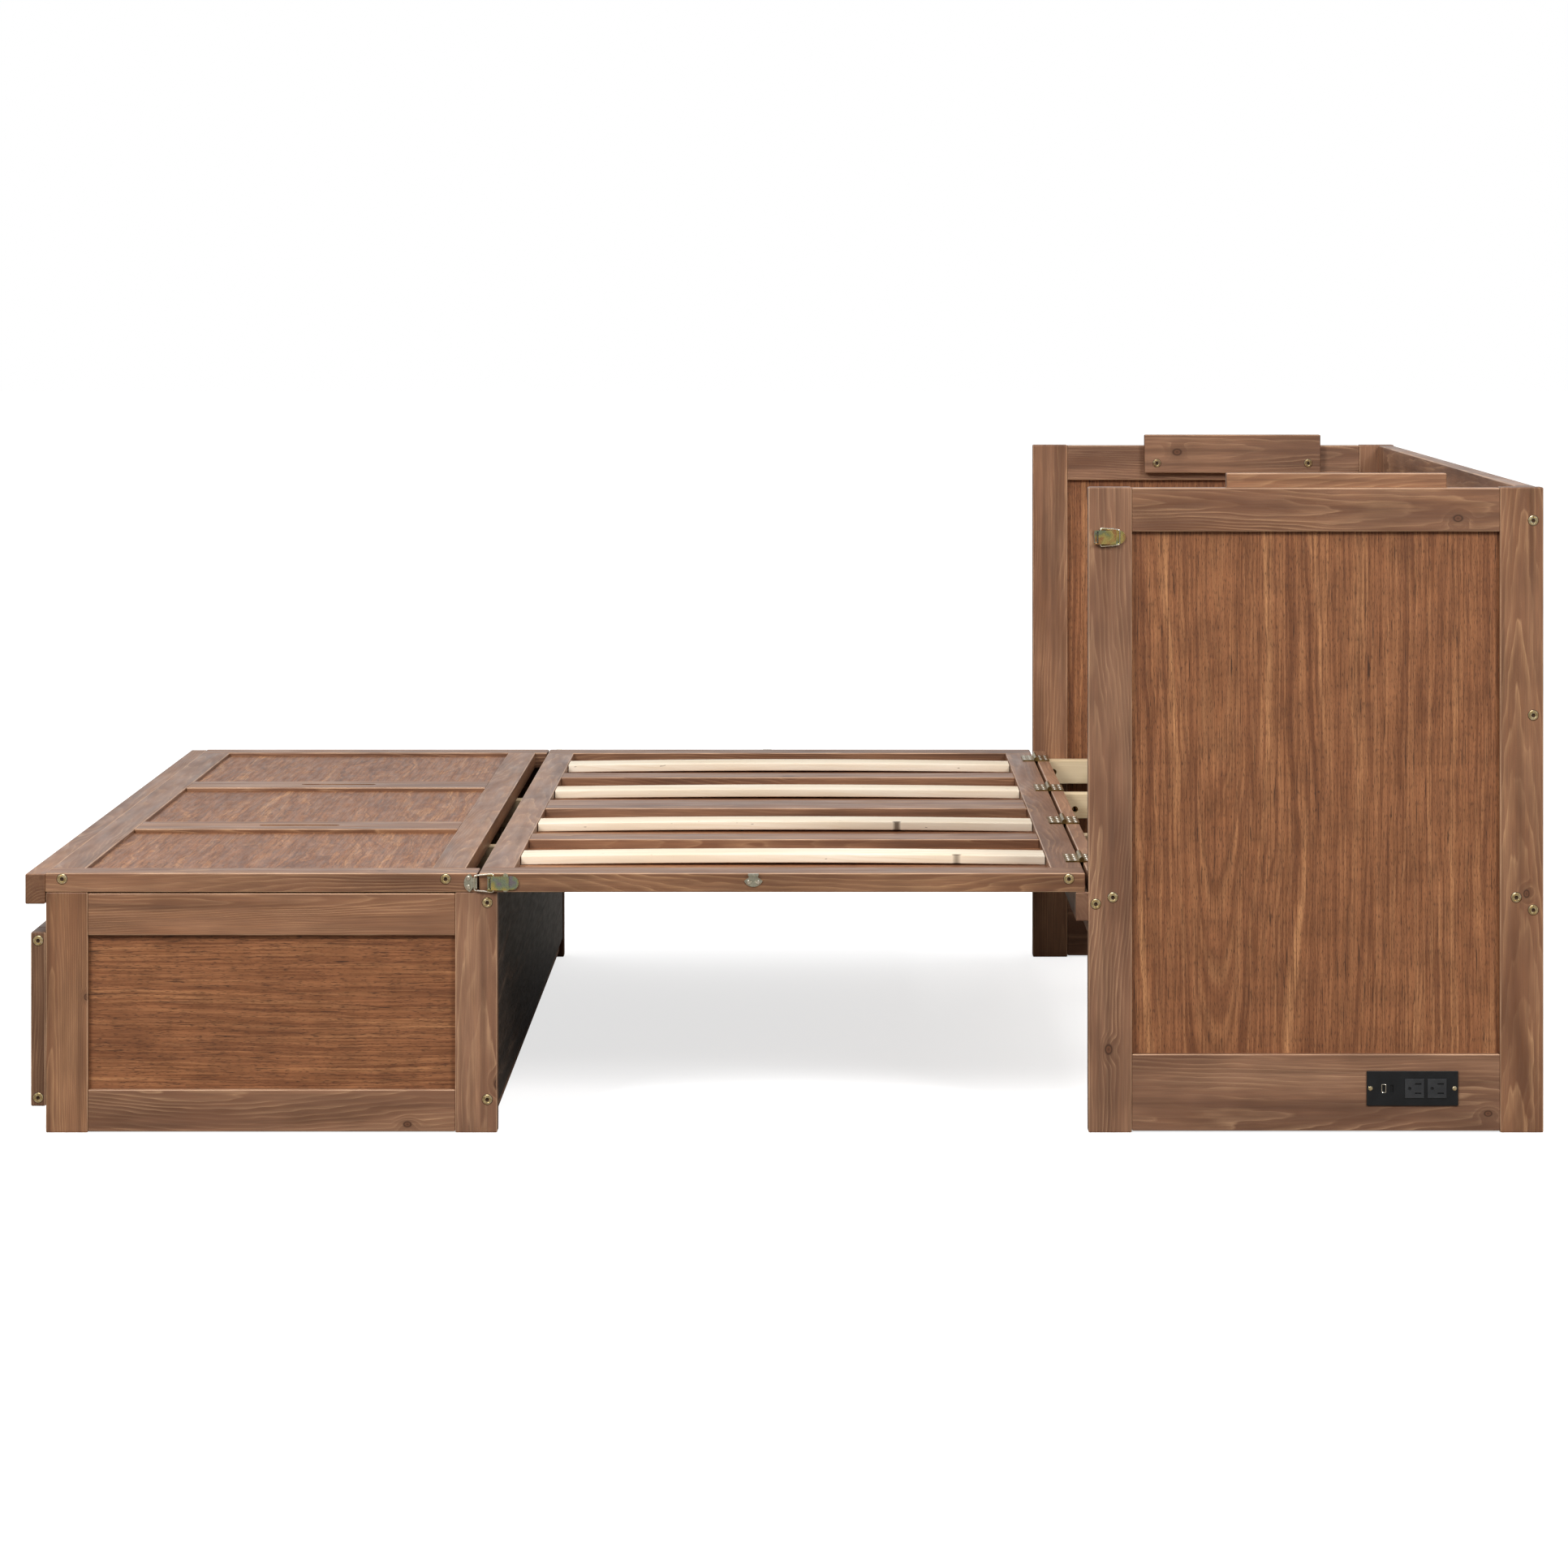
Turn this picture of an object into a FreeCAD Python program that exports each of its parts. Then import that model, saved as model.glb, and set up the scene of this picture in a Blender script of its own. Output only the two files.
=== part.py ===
import FreeCAD, Part
import math
import os
import re

# A cabinet bed, opened out. +X points to the head end, +Y away from the viewer, +Z up, and
# the origin is on the floor under the middle of the whole bed.  The head cabinet is fixed.
# A slatted platform is hinged to it, and its other end rests on a foot box with a lid and
# a drawer.  The near and the far side are mirror images about the plane Y = 0.

SIZES = {
    # the whole bed
    "bed_width": 1600,            # outer width of every section
    "platform_top": 352,          # height of the mattress surface
    "platform_thick": 26,         # thickness of the hinged platform and of the lid
    "edge_round": 2,              # rounding along the edges of every board
    "panel_thick": 6,             # veneered panels
    "panel_inset": 9,             # step from a frame's face down to its panel
    "panel_tongue": 8,            # part of a panel's edge that is held in the frame
    "panel_float": 0.5,           # play of a panel in its groove
    "side_thick": 26,             # frames of the cabinet and of the foot box
    "slack": 0.3,                 # running clearance between parts that slide
    # head cabinet
    "cabinet_depth": 617,
    "cabinet_height": 875,
    "stile_width": 59,
    "top_rail_width": 59,
    "bottom_rail_width": 104,
    "foot_clear": 2.5,            # bottom rail above the feet of the stiles
    "rail_drop": 1,               # top rail below the top of the stiles
    "back_thick": 24,
    "back_inset": 2,
    "back_rail_width": 90,
    "back_bottom": 257,
    "back_mid_width": 60,
    # boards that locate the stacked foot box
    "locator_length": 300,
    "locator_width": 65,
    "locator_rise": 18,
    "locator_thick": 18,
    "locator_shift": 31,          # centre of the board behind the middle of the cabinet
    "locator_bolt_end": 21,
    "locator_bolt_up": 16.5,
    # head platform
    "beam_thick": 20,
    "beam_height": 84,
    "joist_width": 30,
    "joist_height": 40,
    "slat_thick": 13,
    "slat_width": 62,             # slats of the head platform and of the hinged platform
    "head_slat_start": 118,       # first cross slat behind the front of the cabinet
    "head_slat_end": 19,          # last cross slat in front of the back
    "ledger_thick": 17,
    "ledger_height": 39,
    # power unit
    "plate_long": 124,
    "plate_high": 47,
    "plate_thick": 2.5,
    "plate_from_back": 116,       # right end of the plate from the back of the cabinet
    "plate_bottom": 37,
    "housing_long": 106,
    "housing_high": 38,
    "housing_deep": 42,
    "outlet_size": 26,
    "outlet_rise": 1.5,
    "outlet_pitch": 30.5,
    "outlet_start": 51.5,         # first outlet from the left end of the plate
    "usb_start": 19.5,            # first port from the left end of the plate
    "usb_high": 12.5,
    "usb_wide": 7,
    "usb_pitch": 11,
    "usb_rim": 1.3,
    "usb_deep": 2,
    "blade_spacing": 12.7,        # between the two blade slots of an outlet
    "blade_long": 8.8,
    "blade_wide": 2,
    "blade_start": 13.5,          # slots from the left side of the outlet
    "earth_radius": 2.4,
    "earth_start": 6.3,
    # hinged platform
    "middle_length": 822,
    "hinge_gap": 4.5,             # between the hinged platform and the cabinet
    "lid_gap": 2,                 # between the lid and the hinged platform
    "middle_rail_width": 60,
    "middle_end_width": 44,
    "cross_rail_width": 66,
    "centre_rail_width": 110,
    "slat_end_gap": 4,
    # hinges
    "leaf_long": 76,
    "leaf_wide": 20,
    "leaf_thick": 2,
    "knuckle_radius": 3.5,
    "pin_radius": 1.6,
    "pin_play": 0.05,
    "hinge_outer": 648,           # outer hinges from the middle of the bed
    "hinge_inner": 213,
    # lid of the foot box
    "lid_length": 586,
    "lid_rail_width": 54,
    "lid_stile_width": 46,
    "lid_mid_width": 90,
    "lid_slot_gap": 20,           # open slot in the lid beside the hinged platform
    "lid_panel_inset": 6,
    "grip_long": 118,
    "grip_wide": 14,
    "strip_thick": 27,
    "strip_height": 41,
    "strip_drop": 1,
    # foot box
    "box_depth": 612,
    "box_clear": 1,
    "box_stile_width": 57,
    "box_rail_width": 57,
    "box_rail_drop": 1.5,
    "box_back_thick": 6,
    "box_back_inset": 2,
    "box_back_bottom": 33,
    "box_cross_thick": 20,
    "box_foot_clear": 9,
    "support_width": 26,
    "support_height": 45,
    "support_shift": 26,          # support rails outside the thirds of the width
    # drawer
    "drawer_front_thick": 20,
    "drawer_front_bottom": 36,
    "drawer_front_height": 236,
    "drawer_front_frame": 46,
    "drawer_panel_inset": 6.3,
    "drawer_board": 14,
    "drawer_side_gap": 4,
    "drawer_side_height": 160,
    "drawer_depth": 560,
    "drawer_floor_thick": 6,
    "drawer_floor_up": 6,
    "runner_bottom": 58,
    "runner_width": 24,
    "runner_end": 6,              # runner from the front and from the rear rail
    "runner_height": 18,
    # bolts with a flat round head and a hexagon socket
    "head_radius": 6.8,
    "head_height": 3,
    "head_proud": 1,
    "shank_radius": 3,
    "bolt_bite": 30,              # bolt inside the second board that it holds
    "top_bolt_up": 18,            # bolts in the edges of the platform and the lid
    "locator_bolt_bite": 16,
    "drawer_bolt_inset": 11.5,    # bolts from the ends of the drawer front's stiles
    "socket_radius": 2.6,
    "socket_depth": 2.2,
    "hole_play": 0.15,
    "barrel_radius": 4.8,
    "barrel_length": 14,
    "barrel_depth": 22,           # barrel nut from the end of its joist
    "barrel_below": 5,            # barrel nut below the middle of its joist
    "joist_bolt_front": 33,       # bolts of the side joists from the ends of the cabinet
    "joist_bolt_back": 37,
    "box_bolt_inset": 13.5,
    "box_bolt_low": 45,
    "box_bolt_high": 14,
    # draw latches
    "latch_plate": 1.2,           # sheet metal thickness
    "latch_pin_out": 5.5,         # lever pin from the wood
    "latch_pin_radius": 1.2,
    "latch_ear_out": 7.8,         # outer side of the base's ears from the middle
    "latch_ear_radius": 2.4,
    "latch_base_long": 32,
    "lug_radius": 3.5,
    "lug_along": 22,
    "lug_across": 9.2,
    "lever_half": 9.3,            # half the width of the lever
    "lever_body_start": 3,
    "lever_body_end": 27,
    "lever_out": 9.5,
    "lever_end": 40,
    "tab_out": 2.7,
    "bail_wire": 1,               # radius of the bail's wire
    "bail_pivot": 6,              # bail pivot from the lever pin, along the lever
    "bail_out": 4,                # bail pivot from the wood
    "bail_long": 26,
    "bail_half_wide": 12.4,
    "bail_half_narrow": 10,
    "bail_bend": 2.5,
    "strike_plate": 1.5,
    "strike_wall": 2.5,
    "strike_out": 6.5,
    "strike_wide": 14.3,
    "strike_neck": 11.5,
    "strike_neck_long": 2.5,
    "strike_fan": 18,
    "strike_fan_side": 10,
    "strike_fan_half": 12.5,
    "latch_below_top": 67.5,      # cabinet's latches below the top of the cabinet
    "strike_edge": 0.4,           # that strike below the platform's top
}

doc = FreeCAD.newDocument("CabinetBed")
sheet = doc.addObject("Spreadsheet::Sheet", "Sizes")
for row, (alias, value) in enumerate(SIZES.items(), start=1):
    sheet.set("A%d" % row, alias)
    sheet.set("B%d" % row, str(value))
    sheet.setAlias("B%d" % row, alias)
doc.recompute()

# Places that several pieces share, as expressions of the sizes above.
HALF = "(bed_width / 2)"
TOTAL = "(strip_thick + lid_length + lid_gap + middle_length + hinge_gap + cabinet_depth)"
STRIP_X = "(-" + TOTAL + " / 2)"
LID_X = "(" + STRIP_X + " + strip_thick)"
LID_END = "(" + LID_X + " + lid_length)"
BOX_X = "(" + LID_X + " + box_clear)"
BOX_END = "(" + BOX_X + " + box_depth)"
MIDDLE_X = "(" + LID_END + " + lid_gap)"
MIDDLE_END = "(" + MIDDLE_X + " + middle_length)"
CABINET_X = "(" + MIDDLE_END + " + hinge_gap)"
CABINET_END = "(" + CABINET_X + " + cabinet_depth)"
HINGE_X = "(" + MIDDLE_END + " + hinge_gap / 2)"
HINGE_Z = "(platform_top + knuckle_radius)"
UNDERSIDE = "(platform_top - platform_thick)"
INNER = "(" + HALF + " - side_thick)"
JOIST_TOP = "(platform_top - slat_thick)"
JOIST_Z = "(" + JOIST_TOP + " - joist_height / 2)"
BACK_X = "(" + CABINET_END + " - back_inset - back_thick)"

NODES = []


def bind(text):
    """Turn size names in a text into references to the spreadsheet."""
    return re.sub(r"[a-z][a-z_]*[a-z]", lambda word: "Sizes." + word.group(), text)


def place(item, at):
    for axis, text in zip("xyz", at):
        item.setExpression("Placement.Base." + axis, bind(text))
    return item


def fill(item, names, texts):
    for name, text in zip(names, texts):
        item.setExpression(name, bind(text))
    return item


def box(label, size, at):
    item = doc.addObject("Part::Box", label)
    fill(item, ("Length", "Width", "Height"), size)
    return place(item, at)


def board(label, size, at, rounding="edge_round"):
    """A board with all its edges rounded, from its low corner."""
    body = doc.addObject("PartDesign::Body", label)
    block = body.newObject("PartDesign::AdditiveBox", label + "_block")
    fill(block, ("Length", "Width", "Height"), size)
    doc.recompute()
    fillet = body.newObject("PartDesign::Fillet", label + "_rounding")
    fillet.Base = (block, ["Edge1"])
    fillet.UseAllEdges = True
    fillet.setExpression("Radius", bind(rounding))
    body.Tip = fillet
    return place(body, at)


TURNS = {
    "+X": FreeCAD.Rotation(FreeCAD.Vector(0, 1, 0), 90),
    "-Y": FreeCAD.Rotation(FreeCAD.Vector(1, 0, 0), 90),
    "+Y": FreeCAD.Rotation(FreeCAD.Vector(1, 0, 0), -90),
    "+Z": FreeCAD.Rotation(),
}


def rod(label, radius, length, at, along="+Z"):
    item = doc.addObject("Part::Cylinder", label)
    item.Placement = FreeCAD.Placement(FreeCAD.Vector(), TURNS[along])
    fill(item, ("Radius", "Height"), (radius, length))
    return place(item, at)


def fuse(label, items):
    item = doc.addObject("Part::MultiFuse", label)
    item.Shapes = items
    return item


def gather(label, items):
    item = doc.addObject("Part::Compound", label)
    item.Links = items
    return item


def cut(label, base, tools):
    item = doc.addObject("Part::Cut", label)
    item.Base = base
    item.Tool = gather(label + "_tools", tools)
    return item


def far_copy(item):
    """The same piece on the far side of the bed."""
    copy = doc.addObject("Part::Mirroring", item.Label + "_far")
    copy.Source = item
    copy.Normal = FreeCAD.Vector(0, 1, 0)
    return copy


def node(label, items):
    """A named sub-part: one piece, or a group of like pieces."""
    NODES.append(gather(label, items))


def pair(label, items):
    node(label, items + [far_copy(item) for item in items])


# ---------------------------------------------------------------- bolts
# A bolt's head sits in a shallow counterbore.  Its hole is cut in every board it passes.

def bolt(label, at, along, reach):
    """Return a bolt whose tip is this far below the surface, and the tool for its hole."""
    axis = "xyz".index(along[1].lower())
    sign = "-" if along[0] == "+" else "+"
    back = "+" if along[0] == "+" else "-"
    outside = list(at)
    outside[axis] = at[axis] + sign + "head_proud"
    sunk = list(at)
    sunk[axis] = at[axis] + back + "(head_height - head_proud)"
    head = rod(label + "_head", "head_radius", "head_height", outside, along)
    shank = rod(label + "_shank", "shank_radius", reach + " - head_height + head_proud", sunk, along)
    whole = fuse(label + "_whole", [head, shank])
    socket = doc.addObject("Part::Prism", label + "_socket")
    socket.Polygon = 6
    socket.Placement = FreeCAD.Placement(FreeCAD.Vector(), TURNS[along])
    fill(socket, ("Circumradius", "Height"), ("socket_radius", "socket_depth"))
    place(socket, outside)
    bore = rod(label + "_bore", "shank_radius + hole_play",
               reach + " + head_proud + hole_play", outside, along)
    sink = rod(label + "_sink", "head_radius + hole_play", "head_height", outside, along)
    return cut(label, whole, [socket]), fuse(label + "_hole", [bore, sink])


# ---------------------------------------------------------------- frame-and-panel sides
# The cabinet and the foot box have the same kind of side: two stiles, two rails between
# them and a thin panel held in a groove all round.  Only the near one is built.

def side_frame(name, left, length, tall, stile, rails, rail_drop, foot_clear):
    top_rail, bottom_rail = rails
    face = "-" + HALF
    rail_length = "%s - 2 * %s" % (length, stile)
    rail_x = "%s + %s" % (left, stile)
    panel_z = "%s + %s - panel_tongue" % (foot_clear, bottom_rail)
    opening = "(%s - %s - %s - %s - %s)" % (tall, rail_drop, top_rail, bottom_rail, foot_clear)
    panel = box(name + "_panel",
                (rail_length + " + 2 * panel_tongue", "panel_thick",
                 opening + " + 2 * panel_tongue"),
                (rail_x + " - panel_tongue", face + " + panel_inset", panel_z))
    groove = box(name + "_groove",
                 (rail_length + " + 2 * panel_tongue + 2 * panel_float", "panel_thick",
                  opening + " + 2 * panel_tongue + 2 * panel_float"),
                 (rail_x + " - panel_tongue - panel_float", face + " + panel_inset",
                  panel_z + " - panel_float"))
    pieces = {
        "front": board(name + "_front_stile_board", (stile, "side_thick", tall),
                       (left, face, "0")),
        "back": board(name + "_back_stile_board", (stile, "side_thick", tall),
                      ("%s + %s - %s" % (left, length, stile), face, "0")),
        "top": board(name + "_top_rail_board", (rail_length, "side_thick", top_rail),
                     (rail_x, face, "%s - %s - %s" % (tall, rail_drop, top_rail))),
        "bottom": board(name + "_bottom_rail_board", (rail_length, "side_thick", bottom_rail),
                        (rail_x, face, foot_clear)),
    }
    return pieces, panel, groove


# ---------------------------------------------------------------- head cabinet
side, side_panel, side_groove = side_frame(
    "cabinet", CABINET_X, "cabinet_depth", "cabinet_height", "stile_width",
    ("top_rail_width", "bottom_rail_width"), "rail_drop", "foot_clear")

FACE = "-" + HALF
BEAM_Z = "(platform_top - beam_height / 2)"
BACK_BOLT_X = "(" + BACK_X + " + back_thick / 2)"
BACK_BOLTS = {
    "low": "(back_bottom + back_rail_width / 2)",
    "mid": "((back_bottom + cabinet_height) / 2)",
    "high": "(cabinet_height - back_rail_width / 2)",
}
SIDE_REACH = "side_thick + bolt_bite"
beam_bolt, beam_hole = bolt(
    "beam_bolt", (CABINET_X + " + beam_thick / 2", FACE, BEAM_Z), "+Y", SIDE_REACH)
back_bolts = []
back_holes = []
for level, height in BACK_BOLTS.items():
    item, hole = bolt("back_bolt_" + level, (BACK_BOLT_X, FACE, height), "+Y", SIDE_REACH)
    back_bolts.append(item)
    back_holes.append(hole)

# The side joists are bolted through the stiles, with a round nut on the inner face.
SIDE_NUTS = {"front": CABINET_X + " + joist_bolt_front", "back": CABINET_END + " - joist_bolt_back"}
NUT_LONG = "(barrel_length / 2)"
side_joist_bolts = []
side_joist_holes = {}
side_nut_pockets = []
for end, x in SIDE_NUTS.items():
    item, hole = bolt("side_joist_bolt_" + end, (x, FACE, JOIST_Z), "+Y",
                      "side_thick + joist_width - slack")
    nut = rod("side_nut_" + end, "barrel_radius", NUT_LONG,
              (x, "-" + INNER + " + joist_width", JOIST_Z), "-Y")
    side_joist_bolts += [item, cut("side_nut_bored_" + end, nut, [hole])]
    side_joist_holes[end] = hole
    side_nut_pockets.append(rod("side_pocket_" + end, "barrel_radius + hole_play", NUT_LONG,
                                (x, "-" + INNER + " + joist_width", JOIST_Z), "-Y"))

pair("cabinet_front_stiles",
     [cut("cabinet_front_stile", side["front"], [side_groove, beam_hole, side_joist_holes["front"]])])
pair("cabinet_back_stiles",
     [cut("cabinet_back_stile", side["back"], [side_groove, side_joist_holes["back"]] + back_holes)])

# Boards on the inner faces that keep the stacked foot box in place.
LOCATOR_X = "(" + CABINET_X + " + cabinet_depth / 2 + locator_shift - locator_length / 2)"
LOCATOR_Z = "(cabinet_height + locator_rise - locator_width)"
locator_bolts = []
locator_holes = []
for end, along_x in (("front", "locator_bolt_end"), ("back", "(locator_length - locator_bolt_end)")):
    item, hole = bolt("locator_bolt_" + end,
                      (LOCATOR_X + " + " + along_x, "-" + INNER + " + locator_thick",
                       LOCATOR_Z + " + locator_bolt_up"), "-Y", "locator_thick + locator_bolt_bite")
    locator_bolts.append(item)
    locator_holes.append(hole)
locator = board("locator_board", ("locator_length", "locator_thick", "locator_width"),
                (LOCATOR_X, "-" + INNER, LOCATOR_Z))
pair("locating_boards", [cut("locating_board", locator, locator_holes)])
pair("cabinet_top_rails",
     [cut("cabinet_top_rail", side["top"], [side_groove] + locator_holes)])
pair("cabinet_side_panels", [side_panel])

# The power unit sits in a cut-out of the near bottom rail.
PLATE_X = "(" + CABINET_END + " - plate_from_back - plate_long)"
HOUSING_X = "(" + PLATE_X + " + (plate_long - housing_long) / 2)"
HOUSING_Z = "(plate_bottom + (plate_high - housing_high) / 2)"
cutout = box("power_cutout", ("housing_long + 2 * slack", "2 * side_thick", "housing_high + 2 * slack"),
             (HOUSING_X + " - slack", FACE + " - side_thick / 2", HOUSING_Z + " - slack"))
plain_rail = cut("cabinet_bottom_rail", side["bottom"], [side_groove])
node("cabinet_near_bottom_rail", [cut("cabinet_power_rail", side["bottom"], [side_groove, cutout])])
node("cabinet_far_bottom_rail", [far_copy(plain_rail)])

OUTLET_X = "(" + PLATE_X + " + outlet_start)"
OUTLET_Z = "(plate_bottom + plate_high / 2 - outlet_size / 2)"
USB_Z = "(plate_bottom + plate_high / 2 - usb_high / 2)"
USB_X = "(" + PLATE_X + " + usb_start)"
outlets = []
for number in range(2):
    x = OUTLET_X + " + outlet_pitch * %d" % number
    outlets.append(board("outlet_%d" % number, ("outlet_size", "plate_thick + outlet_rise", "outlet_size"),
                         (x, FACE + " - plate_thick - outlet_rise", OUTLET_Z), "outlet_rise / 3"))
ports = []
for number in range(2):
    x = USB_X + " + usb_pitch * %d" % number
    port = box("usb_shell_%d" % number, ("usb_wide", "plate_thick", "usb_high"),
               (x, FACE + " - plate_thick", USB_Z))
    mouth = box("usb_mouth_%d" % number,
                ("usb_wide - 2 * usb_rim", "usb_deep", "usb_high - 2 * usb_rim"),
                (x + " + usb_rim", FACE + " - plate_thick", USB_Z + " + usb_rim"))
    ports.append(cut("usb_port_%d" % number, port, [mouth]))
plate = board("power_plate", ("plate_long", "plate_thick", "plate_high"),
              (PLATE_X, FACE + " - plate_thick", "plate_bottom"), "plate_thick / 3")
windows = outlets + [box("usb_window_%d" % number, ("usb_wide", "plate_thick", "usb_high"),
                         (USB_X + " + usb_pitch * %d" % number, FACE + " - plate_thick", USB_Z))
                     for number in range(2)]
node("power_faceplate", [cut("power_plate_cut", plate, windows)])


def blades(number):
    """Slots of one outlet: two blades one above the other, and a round earth hole."""
    x = OUTLET_X + " + outlet_pitch * %d" % number
    y = FACE + " - plate_thick - outlet_rise"
    middle = OUTLET_Z + " + outlet_size / 2"
    tools = [rod("earth_%d" % number, "earth_radius", "plate_thick",
                 (x + " + earth_start", y, middle), "+Y")]
    for sign in (-1, 1):
        tools.append(box("blade_%d_%d" % (number, sign), ("blade_long", "plate_thick", "blade_wide"),
                         (x + " + blade_start", y,
                          middle + " + %d * blade_spacing / 2 - blade_wide / 2" % sign)))
    return tools


node("power_outlets", [cut("outlet_cut_%d" % number, outlets[number], blades(number))
                       for number in range(2)])
node("usb_ports", ports)
node("power_housing", [box("power_case", ("housing_long", "housing_deep", "housing_high"),
                           (HOUSING_X, FACE, HOUSING_Z))])

# Back of the cabinet: end and mid stiles, two rails and three panels.
BACK_TALL = "(cabinet_height - rail_drop - back_bottom)"
BACK_OPEN = "(" + BACK_TALL + " - 2 * back_rail_width)"
BACK_PANEL_Y = "(" + INNER + " - stile_width)"
BACK_BAY = "((2 * " + BACK_PANEL_Y + " - 2 * back_mid_width) / 3)"
back_groove = box("back_groove",
                  ("panel_thick", "2 * " + BACK_PANEL_Y + " + 2 * panel_tongue + 2 * panel_float",
                   BACK_OPEN + " + 2 * panel_tongue + 2 * panel_float"),
                  (BACK_X + " + panel_inset", "-" + BACK_PANEL_Y + " - panel_tongue - panel_float",
                   "back_bottom + back_rail_width - panel_tongue - panel_float"))
back_end = board("back_end_board", ("back_thick", "stile_width", BACK_TALL),
                 (BACK_X, "-" + INNER, "back_bottom"))
pair("back_end_stiles", [cut("back_end_stile", back_end, [back_groove] + back_holes)])
back_mid = board("back_mid_board", ("back_thick", "back_mid_width", BACK_OPEN),
                 (BACK_X, "-" + BACK_BAY + " / 2 - back_mid_width", "back_bottom + back_rail_width"))
mid_grooves = [box("back_mid_groove_%d" % number,
                   ("panel_thick", "panel_tongue + panel_float", BACK_OPEN),
                   (BACK_X + " + panel_inset", y, "back_bottom + back_rail_width"))
               for number, y in enumerate((
                   "-" + BACK_BAY + " / 2 - panel_tongue - panel_float",
                   "-" + BACK_BAY + " / 2 - back_mid_width"))]
pair("back_mid_stiles", [cut("back_mid_stile", back_mid, mid_grooves)])
back_rails = []
for level, z in (("top", "back_bottom + " + BACK_TALL + " - back_rail_width"), ("bottom", "back_bottom")):
    rail = board("back_%s_board" % level, ("back_thick", "2 * " + BACK_PANEL_Y, "back_rail_width"),
                 (BACK_X, "-" + BACK_PANEL_Y, z))
    back_rails.append(cut("back_%s_rail" % level, rail, [back_groove]))
node("back_rails", back_rails)
node("back_panels",
     [box("back_panel_%d" % (number + 1),
          ("panel_thick", BACK_BAY + " + 2 * panel_tongue", BACK_OPEN + " + 2 * panel_tongue"),
          (BACK_X + " + panel_inset",
           "%d * (%s + back_mid_width) - %s / 2 - panel_tongue" % (number, BACK_BAY, BACK_BAY),
           "back_bottom + back_rail_width - panel_tongue"))
      for number in (-1, 0, 1)])

# Head platform: a front beam, four joists, and slats across the joists.  The two joists
# at the thirds of the width are bolted through the beam into a barrel nut.
JOIST_Y = {"side": "(" + INNER + " - joist_width / 2)", "third": "(" + HALF + " / 3)"}
NUT_X = "(" + CABINET_X + " + beam_thick + barrel_depth)"
NUT_Z = "(" + JOIST_Z + " - barrel_below)"
third_y = "-" + JOIST_Y["third"]
third_bolt, third_hole = bolt("third_bolt", (CABINET_X + " + head_proud", third_y, NUT_Z), "+X",
                              "beam_thick + barrel_depth + barrel_radius")
pocket = rod("barrel_pocket", "barrel_radius + hole_play", "joist_width / 2 + barrel_length / 2",
             (NUT_X, third_y + " + joist_width / 2", NUT_Z), "-Y")
barrel = rod("barrel", "barrel_radius", "barrel_length",
             (NUT_X, third_y + " + barrel_length / 2", NUT_Z), "-Y")
barrel_nut = cut("barrel_nut", barrel, [third_hole])
joist_tools = {"side": list(side_joist_holes.values()) + side_nut_pockets,
               "third": [third_hole, pocket]}
joists = []
for name, y in JOIST_Y.items():
    joist = board("joist_board_" + name,
                  (BACK_X + " - " + CABINET_X + " - beam_thick", "joist_width", "joist_height"),
                  (CABINET_X + " + beam_thick", "-" + y + " - joist_width / 2",
                   JOIST_TOP + " - joist_height"))
    joists.append(cut("joist_" + name, joist, joist_tools[name]))
pair("head_joists", joists)
beam = board("beam_board", ("beam_thick", "2 * " + INNER, "beam_height"),
             (CABINET_X, "-" + INNER, "platform_top - beam_height"))
beam_tools = [beam_hole, third_hole]
node("head_front_beam", [cut("head_beam", beam, beam_tools + [far_copy(tool) for tool in beam_tools])])
HEAD_SLATS = 5
HEAD_SPREAD = "(" + BACK_X + " - " + CABINET_X + " - head_slat_start - head_slat_end - slat_width)"
node("head_slats",
     [board("head_slat_%d" % number, ("slat_width", "2 * " + INNER, "slat_thick"),
            (CABINET_X + " + head_slat_start + %s * %d / %d" % (HEAD_SPREAD, number, HEAD_SLATS - 1),
             "-" + INNER, JOIST_TOP))
      for number in range(HEAD_SLATS)])
node("head_rest_ledger",
     [board("rest_ledger", ("ledger_thick", "bed_width", "ledger_height"),
            (CABINET_X + " - ledger_thick", FACE, UNDERSIDE + " - ledger_height"))])
pair("cabinet_fasteners",
     [beam_bolt, third_bolt, barrel_nut] + side_joist_bolts + back_bolts + locator_bolts)

# ---------------------------------------------------------------- butt hinges
# Three knuckles of equal length: the outer two belong to the fixed leaf, which also holds
# the pin, and the middle one to the leaf of the hinged platform.
KNUCKLE = "(leaf_long / 3)"


def knuckle(label, y, length, bore):
    barrel = rod(label + "_barrel", "knuckle_radius", length, (HINGE_X, y, HINGE_Z), "+Y")
    return barrel, rod(label + "_bore", bore, length, (HINGE_X, y, HINGE_Z), "+Y")


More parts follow.
